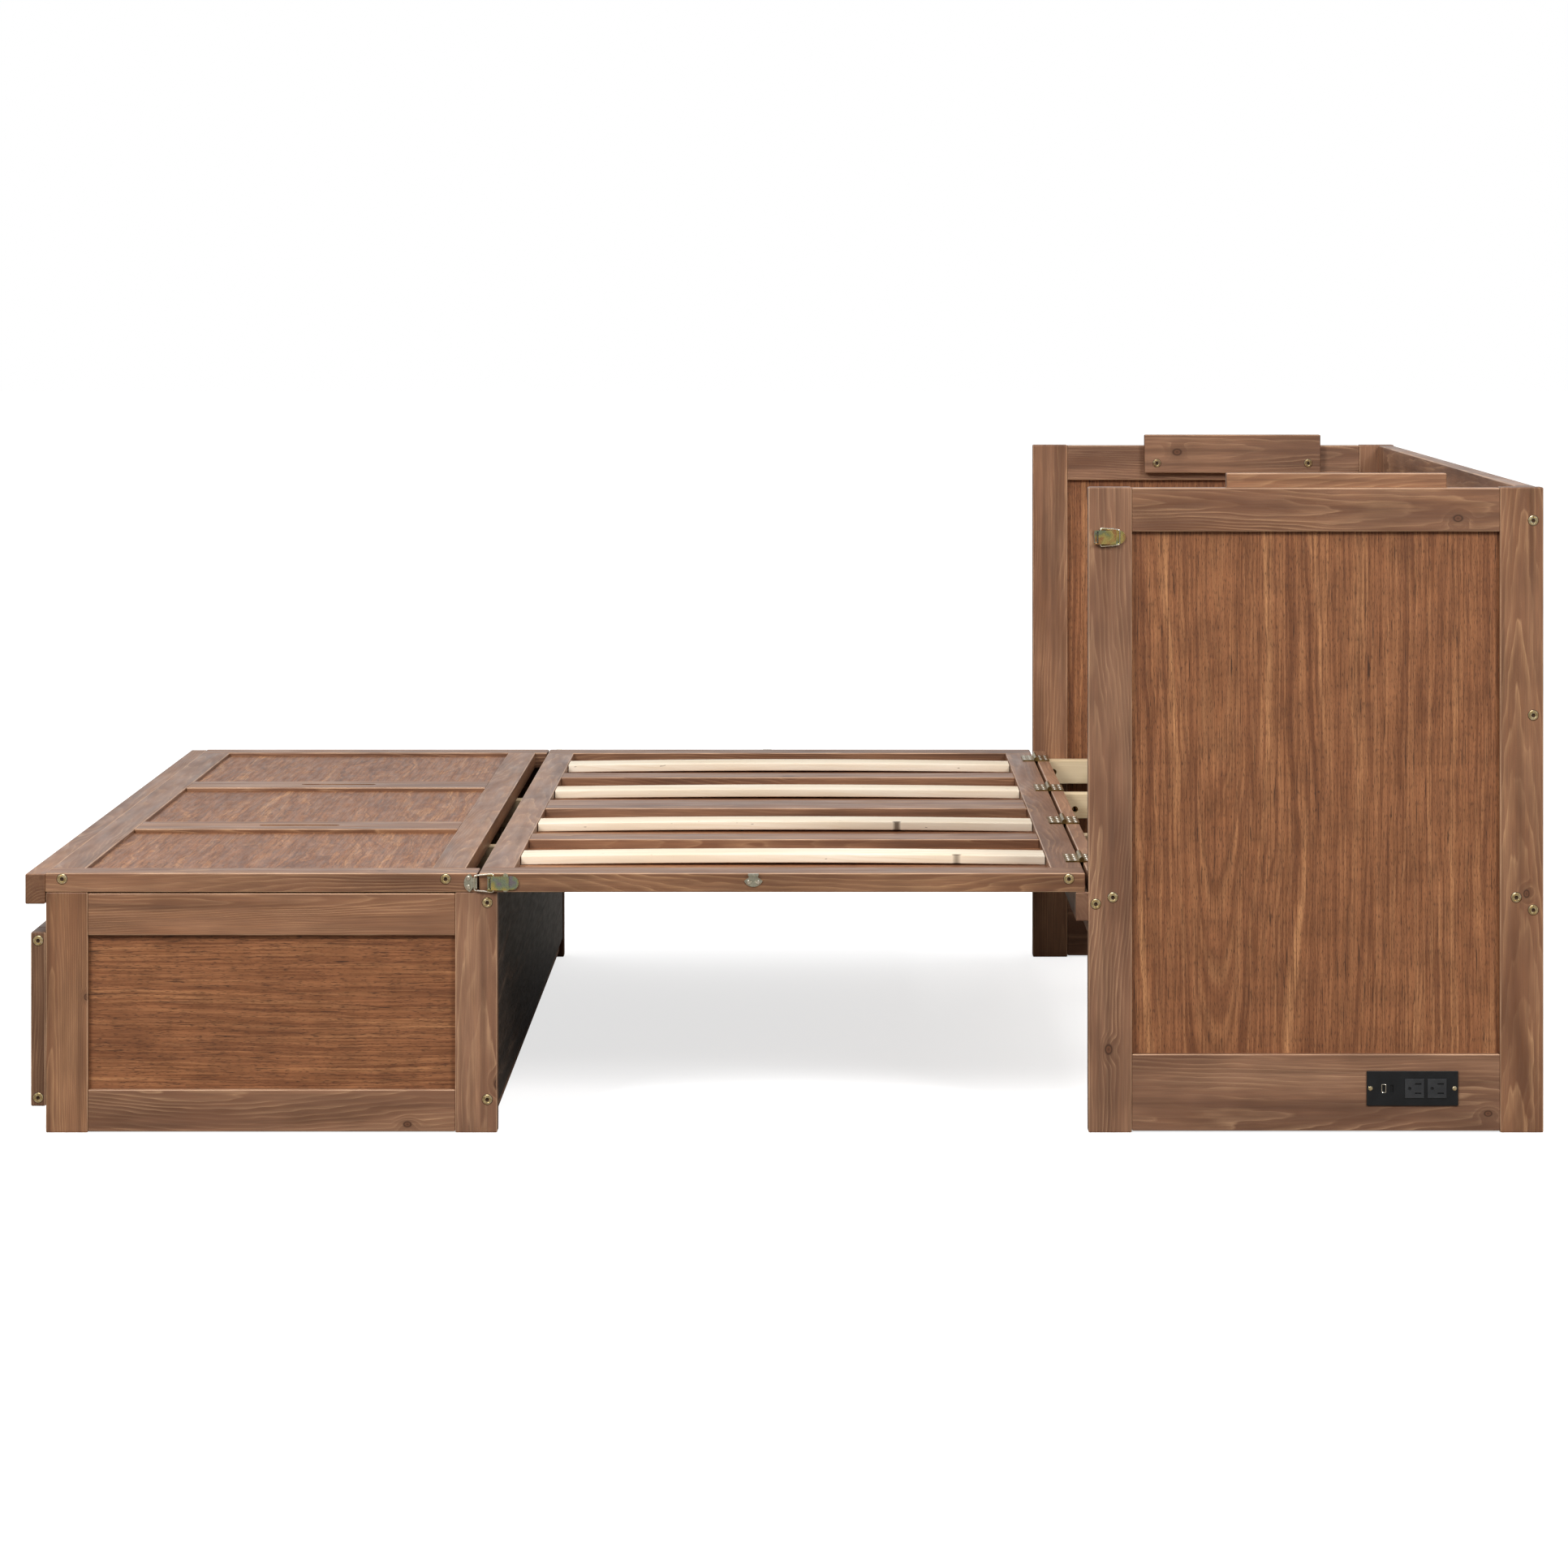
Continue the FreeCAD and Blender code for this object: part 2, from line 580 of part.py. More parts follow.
fixed_leaves = []
moving_leaves = []
for name, centre in (("outer", "hinge_outer"), ("inner", "hinge_inner")):
    start = "-%s - leaf_long / 2" % centre
    fixed_plate = box("fixed_plate_" + name, ("hinge_gap / 2 + leaf_wide", "leaf_long", "leaf_thick"),
                      (HINGE_X, start, "platform_top"))
    first, first_bore = knuckle("fixed_first_" + name, start, KNUCKLE, "pin_radius")
    last, last_bore = knuckle("fixed_last_" + name, start + " + 2 * " + KNUCKLE, KNUCKLE, "pin_radius")
    gap = rod("fixed_gap_" + name, "knuckle_radius + slack", KNUCKLE + " + 2 * slack",
              (HINGE_X, start + " + " + KNUCKLE + " - slack", HINGE_Z), "+Y")
    pin = rod("hinge_pin_" + name, "pin_radius", "leaf_long", (HINGE_X, start, HINGE_Z), "+Y")
    leaf = cut("fixed_leaf_" + name, fuse("fixed_parts_" + name, [fixed_plate, first, last]), [gap])
    fixed_leaves.append(fuse("fixed_hinge_" + name, [leaf, pin]))
    moving_plate = box("moving_plate_" + name,
                       ("hinge_gap / 2 + leaf_wide", "leaf_long", "leaf_thick"),
                       (HINGE_X + " - hinge_gap / 2 - leaf_wide", start, "platform_top"))
    middle, bore = knuckle("moving_middle_" + name, start + " + " + KNUCKLE + " + slack",
                           KNUCKLE + " - 2 * slack", "pin_radius + pin_play")
    ends = [rod("moving_gap_%s_%d" % (name, number), "knuckle_radius + slack", KNUCKLE + " + slack",
                (HINGE_X, start + extra, HINGE_Z), "+Y")
            for number, extra in enumerate(("", " + 2 * " + KNUCKLE + " - slack"))]
    moving_leaves.append(cut("moving_hinge_" + name,
                             fuse("moving_parts_" + name, [moving_plate, middle]), [bore] + ends))
pair("hinge_fixed_leaves", fixed_leaves)
pair("hinge_moving_leaves", moving_leaves)

# ---------------------------------------------------------------- hinged middle platform
# Four panels in its frame close the front of the cabinet when it is folded up.  The slats
# lie on the panels, one in each bay.
MIDDLE_INNER = "(" + HALF + " - middle_rail_width)"
SLOT_X = "(" + MIDDLE_X + " + middle_end_width)"
SLOT_LONG = "(middle_length - 2 * middle_end_width)"
TOP_BOLT_Z = "(" + UNDERSIDE + " + top_bolt_up)"
middle_bolt, middle_hole = bolt(
    "middle_bolt", (MIDDLE_END + " - middle_end_width / 2", FACE, TOP_BOLT_Z), "+Y",
    "middle_rail_width + bolt_bite")
side_rail = board("middle_side_board", ("middle_length", "middle_rail_width", "platform_thick"),
                  (MIDDLE_X, FACE, UNDERSIDE))
MIDDLE_PANEL_Z = "(platform_top - slat_thick - panel_thick)"
middle_groove = box("middle_groove",
                    (SLOT_LONG + " + 2 * panel_tongue + 2 * panel_float",
                     "2 * " + MIDDLE_INNER + " + 2 * panel_tongue + 2 * panel_float", "panel_thick"),
                    (SLOT_X + " - panel_tongue - panel_float",
                     "-" + MIDDLE_INNER + " - panel_tongue - panel_float", MIDDLE_PANEL_Z))
pair("middle_side_rails", [cut("middle_side_rail", side_rail, [middle_groove, middle_hole])])
pair("middle_bolts", [middle_bolt])
end_rails = []
for name, x in (("foot", MIDDLE_X), ("head", MIDDLE_END + " - middle_end_width")):
    rail = board("middle_%s_board" % name, ("middle_end_width", "2 * " + MIDDLE_INNER, "platform_thick"),
                 (x, "-" + MIDDLE_INNER, UNDERSIDE))
    tools = [middle_groove]
    if name == "head":
        tools += [middle_hole, far_copy(middle_hole)]
    end_rails.append(cut("middle_%s_rail" % name, rail, tools))
node("middle_end_rails", end_rails)
CROSS_Y = "(bed_width / 4)"
cross_rails = []
for name, y, width in (("centre", "0", "centre_rail_width"), ("near", "-" + CROSS_Y, "cross_rail_width")):
    rail = board("cross_board_" + name, (SLOT_LONG, width, "platform_thick"),
                 (SLOT_X, y + " - %s / 2" % width, UNDERSIDE))
    slits = [box("cross_slit_%s_%d" % (name, number),
                 (SLOT_LONG, "panel_tongue + panel_float", "panel_thick"), (SLOT_X, edge, MIDDLE_PANEL_Z))
             for number, edge in enumerate((y + " - %s / 2" % width,
                                            y + " + %s / 2 - panel_tongue - panel_float" % width))]
    cross_rails.append(cut("cross_rail_" + name, rail, slits))
node("middle_cross_rails", cross_rails + [far_copy(cross_rails[1])])
slats = []
panels = []
for name, start, end in (("outer", MIDDLE_INNER, CROSS_Y + " + cross_rail_width / 2"),
                         ("inner", CROSS_Y + " - cross_rail_width / 2", "centre_rail_width / 2")):
    slats.append(board("slat_" + name, (SLOT_LONG + " - 2 * slat_end_gap", "slat_width", "slat_thick"),
                       (SLOT_X + " + slat_end_gap", "-(%s + %s + slat_width) / 2" % (start, end),
                        "platform_top - slat_thick")))
    panels.append(box("middle_panel_" + name,
                      (SLOT_LONG + " + 2 * panel_tongue", "%s - (%s) + 2 * panel_tongue" % (start, end),
                       "panel_thick"),
                      (SLOT_X + " - panel_tongue", "-(%s) - panel_tongue" % start, MIDDLE_PANEL_Z)))
pair("middle_slats", slats)
pair("middle_panels", panels)

# ---------------------------------------------------------------- lid of the foot box
# Side rails run the whole length; the head stile stands back from their ends and leaves
# a slot open.  Two mid stiles with finger slots part the three panels.
LID_INNER = "(" + HALF + " - lid_rail_width)"
LID_HEAD_X = "(" + LID_END + " - lid_slot_gap - lid_stile_width)"
LID_OPEN_X = "(" + LID_X + " + lid_stile_width)"
LID_OPEN_LONG = "(lid_length - lid_slot_gap - 2 * lid_stile_width)"
MID_Y = "(bed_width / 6)"
LID_PANEL_Z = "(platform_top - lid_panel_inset - panel_thick)"
lid_bolts = []
lid_holes = []
for name, x in (("foot", LID_X + " + lid_stile_width / 2"), ("head", LID_HEAD_X + " + lid_stile_width / 2")):
    item, hole = bolt("lid_bolt_" + name, (x, FACE, TOP_BOLT_Z), "+Y", "lid_rail_width + bolt_bite")
    lid_bolts.append(item)
    lid_holes.append(hole)
lid_groove = box("lid_groove",
                 (LID_OPEN_LONG + " + 2 * panel_tongue + 2 * panel_float",
                  "2 * " + LID_INNER + " + 2 * panel_tongue + 2 * panel_float", "panel_thick"),
                 (LID_OPEN_X + " - panel_tongue - panel_float",
                  "-" + LID_INNER + " - panel_tongue - panel_float", LID_PANEL_Z))
lid_side = board("lid_side_board", ("lid_length", "lid_rail_width", "platform_thick"),
                 (LID_X, FACE, UNDERSIDE))
pair("lid_side_rails", [cut("lid_side_rail", lid_side, [lid_groove] + lid_holes)])
pair("lid_bolts", lid_bolts)
stiles = []
for name, x, hole in (("foot", LID_X, lid_holes[0]), ("head", LID_HEAD_X, lid_holes[1])):
    stile = board("lid_%s_board" % name, ("lid_stile_width", "2 * " + LID_INNER, "platform_thick"),
                  (x, "-" + LID_INNER, UNDERSIDE))
    stiles.append(cut("lid_%s_stile" % name, stile, [lid_groove, hole, far_copy(hole)]))
node("lid_end_stiles", stiles)
lid_mid = board("lid_mid_board", (LID_OPEN_LONG, "lid_mid_width", "platform_thick"),
                (LID_OPEN_X, "-" + MID_Y + " - lid_mid_width / 2", UNDERSIDE))
GRIP_X = "(" + LID_OPEN_X + " + " + LID_OPEN_LONG + " / 2)"
grip_parts = [box("grip_middle", ("grip_long - grip_wide", "grip_wide", "2 * platform_thick"),
                  (GRIP_X + " - (grip_long - grip_wide) / 2", "-" + MID_Y + " - grip_wide / 2",
                   UNDERSIDE + " - platform_thick / 2"))]
for number, sign in enumerate(("-", "+")):
    grip_parts.append(rod("grip_end_%d" % number, "grip_wide / 2", "2 * platform_thick",
                          (GRIP_X + sign + "(grip_long - grip_wide) / 2", "-" + MID_Y,
                           UNDERSIDE + " - platform_thick / 2")))
mid_slits = [box("lid_mid_slit_%d" % number, (LID_OPEN_LONG, "panel_tongue + panel_float", "panel_thick"),
                 (LID_OPEN_X, y, LID_PANEL_Z))
             for number, y in enumerate((
                 "-" + MID_Y + " - lid_mid_width / 2",
                 "-" + MID_Y + " + lid_mid_width / 2 - panel_tongue - panel_float"))]
pair("lid_mid_stiles", [cut("lid_mid_stile", lid_mid, [fuse("grip", grip_parts)] + mid_slits)])
LID_PANEL_LONG = LID_OPEN_LONG + " + 2 * panel_tongue"
OUTER_BAY = "(" + LID_INNER + " - " + MID_Y + " - lid_mid_width / 2)"
centre_panel = box("lid_centre_panel",
                   (LID_PANEL_LONG, "2 * " + MID_Y + " - lid_mid_width + 2 * panel_tongue", "panel_thick"),
                   (LID_OPEN_X + " - panel_tongue", "-" + MID_Y + " + lid_mid_width / 2 - panel_tongue",
                    LID_PANEL_Z))
outer_panel = box("lid_outer_panel", (LID_PANEL_LONG, OUTER_BAY + " + 2 * panel_tongue", "panel_thick"),
                  (LID_OPEN_X + " - panel_tongue", "-" + LID_INNER + " - panel_tongue", LID_PANEL_Z))
node("lid_panels", [outer_panel, centre_panel, far_copy(outer_panel)])
node("lid_foot_strip",
     [board("foot_strip", ("strip_thick", "bed_width", "strip_height"),
            (STRIP_X, FACE, "platform_top - strip_drop - strip_height"))])

# ---------------------------------------------------------------- foot box
flank, flank_panel, flank_groove = side_frame(
    "box", BOX_X, "box_depth", UNDERSIDE, "box_stile_width",
    ("box_rail_width", "box_rail_width"), "box_rail_drop", "box_rail_drop")
BOX_BACK_X = "(" + BOX_END + " - box_back_inset - box_back_thick)"
BOX_CROSS_X = "(" + BOX_BACK_X + " - box_cross_thick)"
CROSS_BOLT_X = "(" + BOX_END + " - box_bolt_inset)"
CROSS_TOP_Z = "(" + UNDERSIDE + " - box_rail_width)"
box_bolts = []
box_holes = []
for name, z in (("low", "box_bolt_low"), ("high", UNDERSIDE + " - box_bolt_high")):
    item, hole = bolt("box_bolt_" + name, (CROSS_BOLT_X, FACE, z), "+Y", SIDE_REACH)
    box_bolts.append(item)
    box_holes.append(hole)
pair("box_stiles", [cut("box_front_stile", flank["front"], [flank_groove]),
                    cut("box_back_stile", flank["back"], [flank_groove] + box_holes)])
pair("box_side_rails", [cut("box_top_rail", flank["top"], [flank_groove]),
                        cut("box_bottom_rail", flank["bottom"], [flank_groove])])
pair("box_side_panels", [flank_panel])
pair("box_bolts", box_bolts)
SUPPORT_Y = "(bed_width / 6 + support_shift)"
support = board("support_rail",
                (BOX_CROSS_X + " - " + BOX_X + " - box_cross_thick", "support_width", "support_height"),
                (BOX_X + " + box_cross_thick", "-" + SUPPORT_Y + " - support_width / 2",
                 UNDERSIDE + " - support_height"))
pair("box_support_rails", [support])
cross = []
for name, x, z in (("back_top", BOX_CROSS_X, CROSS_TOP_Z), ("back_bottom", BOX_CROSS_X, "box_foot_clear"),
                   ("front_top", BOX_X, CROSS_TOP_Z)):
    rail = board("box_%s_board" % name, ("box_cross_thick", "2 * " + INNER, "box_rail_width"),
                 (x, "-" + INNER, z))
    if name != "front_top":
        rail = cut("box_%s_rail" % name, rail, box_holes + [far_copy(hole) for hole in box_holes])
    cross.append(rail)
node("box_cross_rails", cross)
node("box_back_panel",
     [box("box_back_sheet", ("box_back_thick", "2 * " + INNER, UNDERSIDE + " - box_back_bottom"),
          (BOX_BACK_X, "-" + INNER, "box_back_bottom"))])
runner = board("drawer_runner",
               (BOX_CROSS_X + " - " + BOX_X + " - 2 * runner_end", "runner_width", "runner_height"),
               (BOX_X + " + runner_end", "-" + INNER, "runner_bottom"))
pair("drawer_runners", [runner])

# ---------------------------------------------------------------- drawer
# The drawer's overlay front is a frame round a panel.  Its box slides on the runners.
FRONT_X = "(" + BOX_X + " - slack - drawer_front_thick)"
DRAWER_X = "(" + FRONT_X + " + drawer_front_thick)"
DRAWER_HALF = "(" + INNER + " - drawer_side_gap)"
DRAWER_Z = "(runner_bottom + runner_height + slack)"
FRONT_INNER = "(" + HALF + " - drawer_front_frame)"
front_opening = "(drawer_front_height - 2 * drawer_front_frame)"
front_groove = box("front_groove",
                   ("panel_thick", "2 * " + FRONT_INNER + " + 2 * panel_tongue + 2 * panel_float",
                    front_opening + " + 2 * panel_tongue + 2 * panel_float"),
                   (FRONT_X + " + drawer_panel_inset", "-" + FRONT_INNER + " - panel_tongue - panel_float",
                    "drawer_front_bottom + drawer_front_frame - panel_tongue - panel_float"))
drawer_bolts = []
drawer_holes = []
for name, z in (("low", "drawer_front_bottom + drawer_bolt_inset"),
                ("high", "drawer_front_bottom + drawer_front_height - drawer_bolt_inset")):
    item, hole = bolt("drawer_bolt_" + name, (FRONT_X + " + drawer_front_thick / 2", FACE, z), "+Y",
                      "drawer_front_frame + bolt_bite")
    drawer_bolts.append(item)
    drawer_holes.append(hole)
front_stile = board("drawer_stile_board",
                    ("drawer_front_thick", "drawer_front_frame", "drawer_front_height"),
                    (FRONT_X, FACE, "drawer_front_bottom"))
frame_pieces = [cut("drawer_stile", front_stile, [front_groove] + drawer_holes)]
frame_pieces.append(far_copy(frame_pieces[0]))
for name, z in (("low", "drawer_front_bottom"),
                ("high", "drawer_front_bottom + drawer_front_height - drawer_front_frame")):
    rail = board("drawer_%s_board" % name, ("drawer_front_thick", "2 * " + FRONT_INNER, "drawer_front_frame"),
                 (FRONT_X, "-" + FRONT_INNER, z))
    frame_pieces.append(cut("drawer_%s_rail" % name, rail,
                            [front_groove] + drawer_holes + [far_copy(hole) for hole in drawer_holes]))
node("drawer_front_frame", frame_pieces)
node("drawer_front_panel",
     [box("drawer_front_sheet",
          ("panel_thick", "2 * " + FRONT_INNER + " + 2 * panel_tongue",
           front_opening + " + 2 * panel_tongue"),
          (FRONT_X + " + drawer_panel_inset", "-" + FRONT_INNER + " - panel_tongue",
           "drawer_front_bottom + drawer_front_frame - panel_tongue"))])
floor_groove = box("floor_groove",
                   ("drawer_depth", "2 * " + DRAWER_HALF + " - drawer_board", "drawer_floor_thick"),
                   (DRAWER_X, "-" + DRAWER_HALF + " + drawer_board / 2", DRAWER_Z + " + drawer_floor_up"))
drawer_side = board("drawer_side_board", ("drawer_depth", "drawer_board", "drawer_side_height"),
                    (DRAWER_X, "-" + DRAWER_HALF, DRAWER_Z))
pair("drawer_sides", [cut("drawer_side", drawer_side, [floor_groove])])
pair("drawer_bolts", drawer_bolts)
node("drawer_back",
     [board("drawer_back_board",
            ("drawer_board", "2 * " + DRAWER_HALF + " - 2 * drawer_board",
             "drawer_side_height - drawer_floor_up - drawer_floor_thick"),
            (DRAWER_X + " + drawer_depth - drawer_board", "-" + DRAWER_HALF + " + drawer_board",
             DRAWER_Z + " + drawer_floor_up + drawer_floor_thick"))])
node("drawer_floor",
     [box("drawer_floor_sheet",
          ("drawer_depth", "2 * " + DRAWER_HALF + " - drawer_board - 2 * panel_float",
           "drawer_floor_thick"),
          (DRAWER_X, "-" + DRAWER_HALF + " + drawer_board / 2 + panel_float",
           DRAWER_Z + " + drawer_floor_up"))])

# ---------------------------------------------------------------- draw latches
# A base with two ears holds the pin of a lever; a wire bail hangs in the lever's cheeks
# and hooks over a strike.  Two latches on each side of the bed, all pointing to the foot.
WALL_X = "(" + LID_END + " - strike_wall)"
LATCH_Z = "(" + UNDERSIDE + " + platform_thick / 2)"
FOLDED_WALL_X = "(" + HINGE_X + " - knuckle_radius - strike_edge - strike_wall)"
PIN_REACH = "(bail_long - bail_pivot - bail_wire - slack)"
LATCHES = {
    "platform": ("(" + WALL_X + " + " + PIN_REACH + ")", LATCH_Z),
    "cabinet": ("(" + FOLDED_WALL_X + " + " + PIN_REACH + ")",
                "(cabinet_height - latch_below_top)"),
}
STRIKE_REACH = "(cabinet_height - latch_below_top - " + HINGE_Z + ")"


def latch_base(name, pin_x, mid_z):
    ear_y = FACE + " - latch_pin_out - latch_ear_radius"
    parts = [box("base_plate_" + name, ("latch_base_long", "latch_plate", "2 * latch_ear_out"),
                 (pin_x + " - latch_ear_radius", FACE + " - latch_plate", mid_z + " - latch_ear_out"))]
    for sign in (-1, 1):
        low = "%s + %s" % (mid_z, "latch_ear_out - latch_plate" if sign > 0 else "-latch_ear_out")
        parts.append(box("ear_%s_%d" % (name, sign),
                         ("2 * latch_ear_radius", "latch_pin_out", "latch_plate"),
                         (pin_x + " - latch_ear_radius", FACE + " - latch_pin_out", low)))
        parts.append(rod("ear_round_%s_%d" % (name, sign), "latch_ear_radius", "latch_plate",
                         (pin_x, FACE + " - latch_pin_out", low)))
        parts.append(rod("lug_%s_%d" % (name, sign), "lug_radius", "latch_plate",
                         (pin_x + " + lug_along", FACE, mid_z + " + %d * lug_across" % sign), "-Y"))
    bore = rod("ear_bore_" + name, "latch_pin_radius + pin_play", "4 * latch_ear_out",
               (pin_x, FACE + " - latch_pin_out", mid_z + " - 2 * latch_ear_out"))
    return cut(name + "_latch_base", fuse("base_parts_" + name, parts), [bore])


def latch_lever(name, pin_x, mid_z):
    body_x = pin_x + " + lever_body_start"
    body_long = "lever_body_end - lever_body_start"
    low = mid_z + " - lever_half"
    parts = [
        box("lever_face_" + name, (body_long, "latch_plate", "2 * lever_half"),
            (body_x, FACE + " - lever_out", low)),
        box("lever_step_" + name, ("latch_plate", "lever_out - tab_out + latch_plate", "2 * lever_half"),
            (pin_x + " + lever_body_end - latch_plate", FACE + " - lever_out", low)),
        box("lever_tab_" + name,
            ("lever_end - lever_body_end - lever_half + latch_plate", "latch_plate", "2 * lever_half"),
            (pin_x + " + lever_body_end - latch_plate", FACE + " - tab_out", low)),
        rod("lever_tip_" + name, "lever_half", "latch_plate",
            (pin_x + " + lever_end - lever_half", FACE + " - tab_out + latch_plate", mid_z), "-Y"),
        rod("lever_pin_" + name, "latch_pin_radius", "2 * lever_half",
            (pin_x, FACE + " - latch_pin_out", low)),
    ]
    for sign in (-1, 1):
        z = "%s + %s" % (mid_z, "lever_half - latch_plate" if sign > 0 else "-lever_half")
        parts.append(box("cheek_%s_%d" % (name, sign),
                         ("lever_body_end + latch_ear_radius - latch_plate",
                          "lever_out - tab_out + latch_plate", "latch_plate"),
                         (pin_x + " - latch_ear_radius", FACE + " - lever_out", z)))
    bore = rod("bail_bore_" + name, "bail_wire + pin_play", "4 * lever_half",
               (pin_x + " + bail_pivot", FACE + " - bail_out", mid_z + " - 2 * lever_half"))
    return cut(name + "_latch_lever", fuse("lever_parts_" + name, parts), [bore])


def value(text):
    """The number that an expression of the sizes gives."""
    probe = doc.addObject("Part::Sphere", "probe")
    probe.setExpression("Placement.Base.x", bind(text))
    doc.recompute()
    number = probe.Placement.Base.x
    doc.removeObject(probe.Name)
    return number


def latch_bail(name, pin_x, mid_z, towards):
    """A bent wire: two stubs in the lever's cheeks, two legs and a closed end."""
    x0 = value(pin_x + " + bail_pivot")
    y = value(FACE + " - bail_out")
    z0 = value(mid_z)
    wire, bend = value("bail_wire"), value("bail_bend")
    wide, narrow = value("bail_half_wide"), value("bail_half_narrow")
    stub = value("latch_ear_out + slack")
    end = x0 + towards * value("bail_long")
    corners = [(x0, stub), (x0, wide), (end, narrow), (end, -narrow), (x0, -wide), (x0, -stub)]
    points = [FreeCAD.Vector(x, y, z0 + z) for x, z in corners]
    edges = []
    last = points[0]
    for before, corner, after in zip(points, points[1:], points[2:]):
        back, ahead = (before - corner).normalize(), (after - corner).normalize()
        opening = back.getAngle(ahead)
        reach = bend / math.tan(opening / 2)
        middle = corner + (back + ahead).normalize() * (bend / math.sin(opening / 2) - bend)
        edges.append(Part.LineSegment(last, corner + back * reach).toShape())
        edges.append(Part.Arc(corner + back * reach, middle, corner + ahead * reach).toShape())
        last = corner + ahead * reach
    edges.append(Part.LineSegment(last, points[-1]).toShape())
    path = Part.Wire(edges)
    section = Part.Wire([Part.Circle(points[0], FreeCAD.Vector(0, 0, 1), wire).toShape()])
    item = doc.addObject("Part::Feature", name + "_latch_bail")
    item.Shape = path.makePipeShell([section], True, False)
    return item


def strike(name, turn, at):
    """A fan-shaped plate with a wall that the bail's closed end hooks behind."""
    plate_t, wall, out = value("strike_plate"), value("strike_wall"), value("strike_out")
    wide, fan, half = value("strike_wide"), value("strike_fan"), value("strike_fan_half")
    neck, side_x = value("strike_neck / 2"), -value("strike_fan_side")
    start = -wall - value("strike_neck_long")
    low, high = FreeCAD.Vector(side_x, 0, -half), FreeCAD.Vector(side_x, 0, half)
    near_low, near_high = FreeCAD.Vector(start, 0, -neck), FreeCAD.Vector(start, 0, neck)
    wall_low, wall_high = FreeCAD.Vector(-wall, 0, -wide / 2), FreeCAD.Vector(-wall, 0, wide / 2)
    tip_low, tip_high = FreeCAD.Vector(0, 0, -wide / 2), FreeCAD.Vector(0, 0, wide / 2)
    outline = Part.Wire([
        Part.Arc(low, FreeCAD.Vector(-fan, 0, 0), high).toShape(),
        Part.makeLine(high, near_high),
        Part.makeLine(near_high, wall_high),
        Part.makeLine(wall_high, tip_high),
        Part.makeLine(tip_high, tip_low),
        Part.makeLine(tip_low, wall_low),
        Part.makeLine(wall_low, near_low),
        Part.makeLine(near_low, low),
    ])
    plate = Part.Face(outline).extrude(FreeCAD.Vector(0, -plate_t, 0))
    hook = Part.makeBox(wall, out, wide, FreeCAD.Vector(-wall, -out, -wide / 2))
    item = doc.addObject("Part::Feature", name)
    item.Shape = plate.fuse(hook).removeSplitter()
    item.Placement = FreeCAD.Placement(FreeCAD.Vector(*[value(text) for text in at]), turn)
    return item


for name, (pin_x, mid_z) in LATCHES.items():
    towards = -1 if name == "platform" else 1
    pair(name + "_latch_bases", [latch_base(name, pin_x, mid_z)])
    lever = latch_lever(name, pin_x, mid_z)
    bail = latch_bail(name, pin_x, mid_z, towards)
    node("near_%s_lever" % name, [lever])
    node("far_%s_lever" % name, [far_copy(lever)])
    node("near_%s_bail" % name, [bail])
    node("far_%s_bail" % name, [far_copy(bail)])
quarter = FreeCAD.Rotation(FreeCAD.Vector(0, 1, 0), -90)
pair("lid_strikes", [strike("lid_strike", FreeCAD.Rotation(), (LID_END, FACE, LATCH_Z))])
pair("middle_strikes", [strike("middle_strike", quarter,
                               (HINGE_X + " - " + STRIKE_REACH, FACE, "platform_top - strike_edge"))])

# ---------------------------------------------------------------- check and write
doc.recompute()
for item in doc.Objects:
    if {"Invalid", "Error"} & set(item.State):
        raise RuntimeError("%s could not be built" % item.Label)
os.makedirs("parts", exist_ok=True)
for item in NODES:
    if item.Shape.isNull() or not item.Shape.isValid():
        raise RuntimeError("%s has no valid shape" % item.Label)
for item in NODES:
    item.Shape.exportStep("parts/%s.step" % item.Label)
print(len(NODES), "nodes written")
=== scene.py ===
import math
import random

import bpy
import numpy as np
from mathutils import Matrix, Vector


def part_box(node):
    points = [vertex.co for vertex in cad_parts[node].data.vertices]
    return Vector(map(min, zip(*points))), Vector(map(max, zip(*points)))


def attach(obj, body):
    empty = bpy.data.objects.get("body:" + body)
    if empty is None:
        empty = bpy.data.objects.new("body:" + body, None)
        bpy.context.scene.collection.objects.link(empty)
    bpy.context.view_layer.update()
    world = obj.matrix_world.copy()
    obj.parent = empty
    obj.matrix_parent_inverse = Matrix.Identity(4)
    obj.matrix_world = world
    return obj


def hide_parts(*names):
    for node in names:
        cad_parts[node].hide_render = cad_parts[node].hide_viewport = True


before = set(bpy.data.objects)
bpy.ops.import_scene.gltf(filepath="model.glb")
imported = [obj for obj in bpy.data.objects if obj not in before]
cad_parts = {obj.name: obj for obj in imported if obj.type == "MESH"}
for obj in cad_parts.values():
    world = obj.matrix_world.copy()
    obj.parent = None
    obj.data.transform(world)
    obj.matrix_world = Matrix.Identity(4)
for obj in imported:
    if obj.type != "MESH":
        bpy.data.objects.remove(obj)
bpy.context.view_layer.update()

# ---------------------------------------------------------------- the studio
# The bed stands on a seamless pale floor before a long lens, square to its near
# side and a little above its platform. Two soft lamps stand high in front, a
# third hangs overhead, and the sky is bright behind the bed and above it.


def linear(colour):
    """Turns an sRGB hex colour, or a grey from 0 to 1, into what a colour socket takes."""
    if not isinstance(colour, str):
        return (colour, colour, colour, 1.0)
    parts = [int(colour[i : i + 2], 16) / 255 for i in (1, 3, 5)]
    return (*[p / 12.92 if p <= 0.04045 else ((p + 0.055) / 1.055) ** 2.4 for p in parts], 1.0)


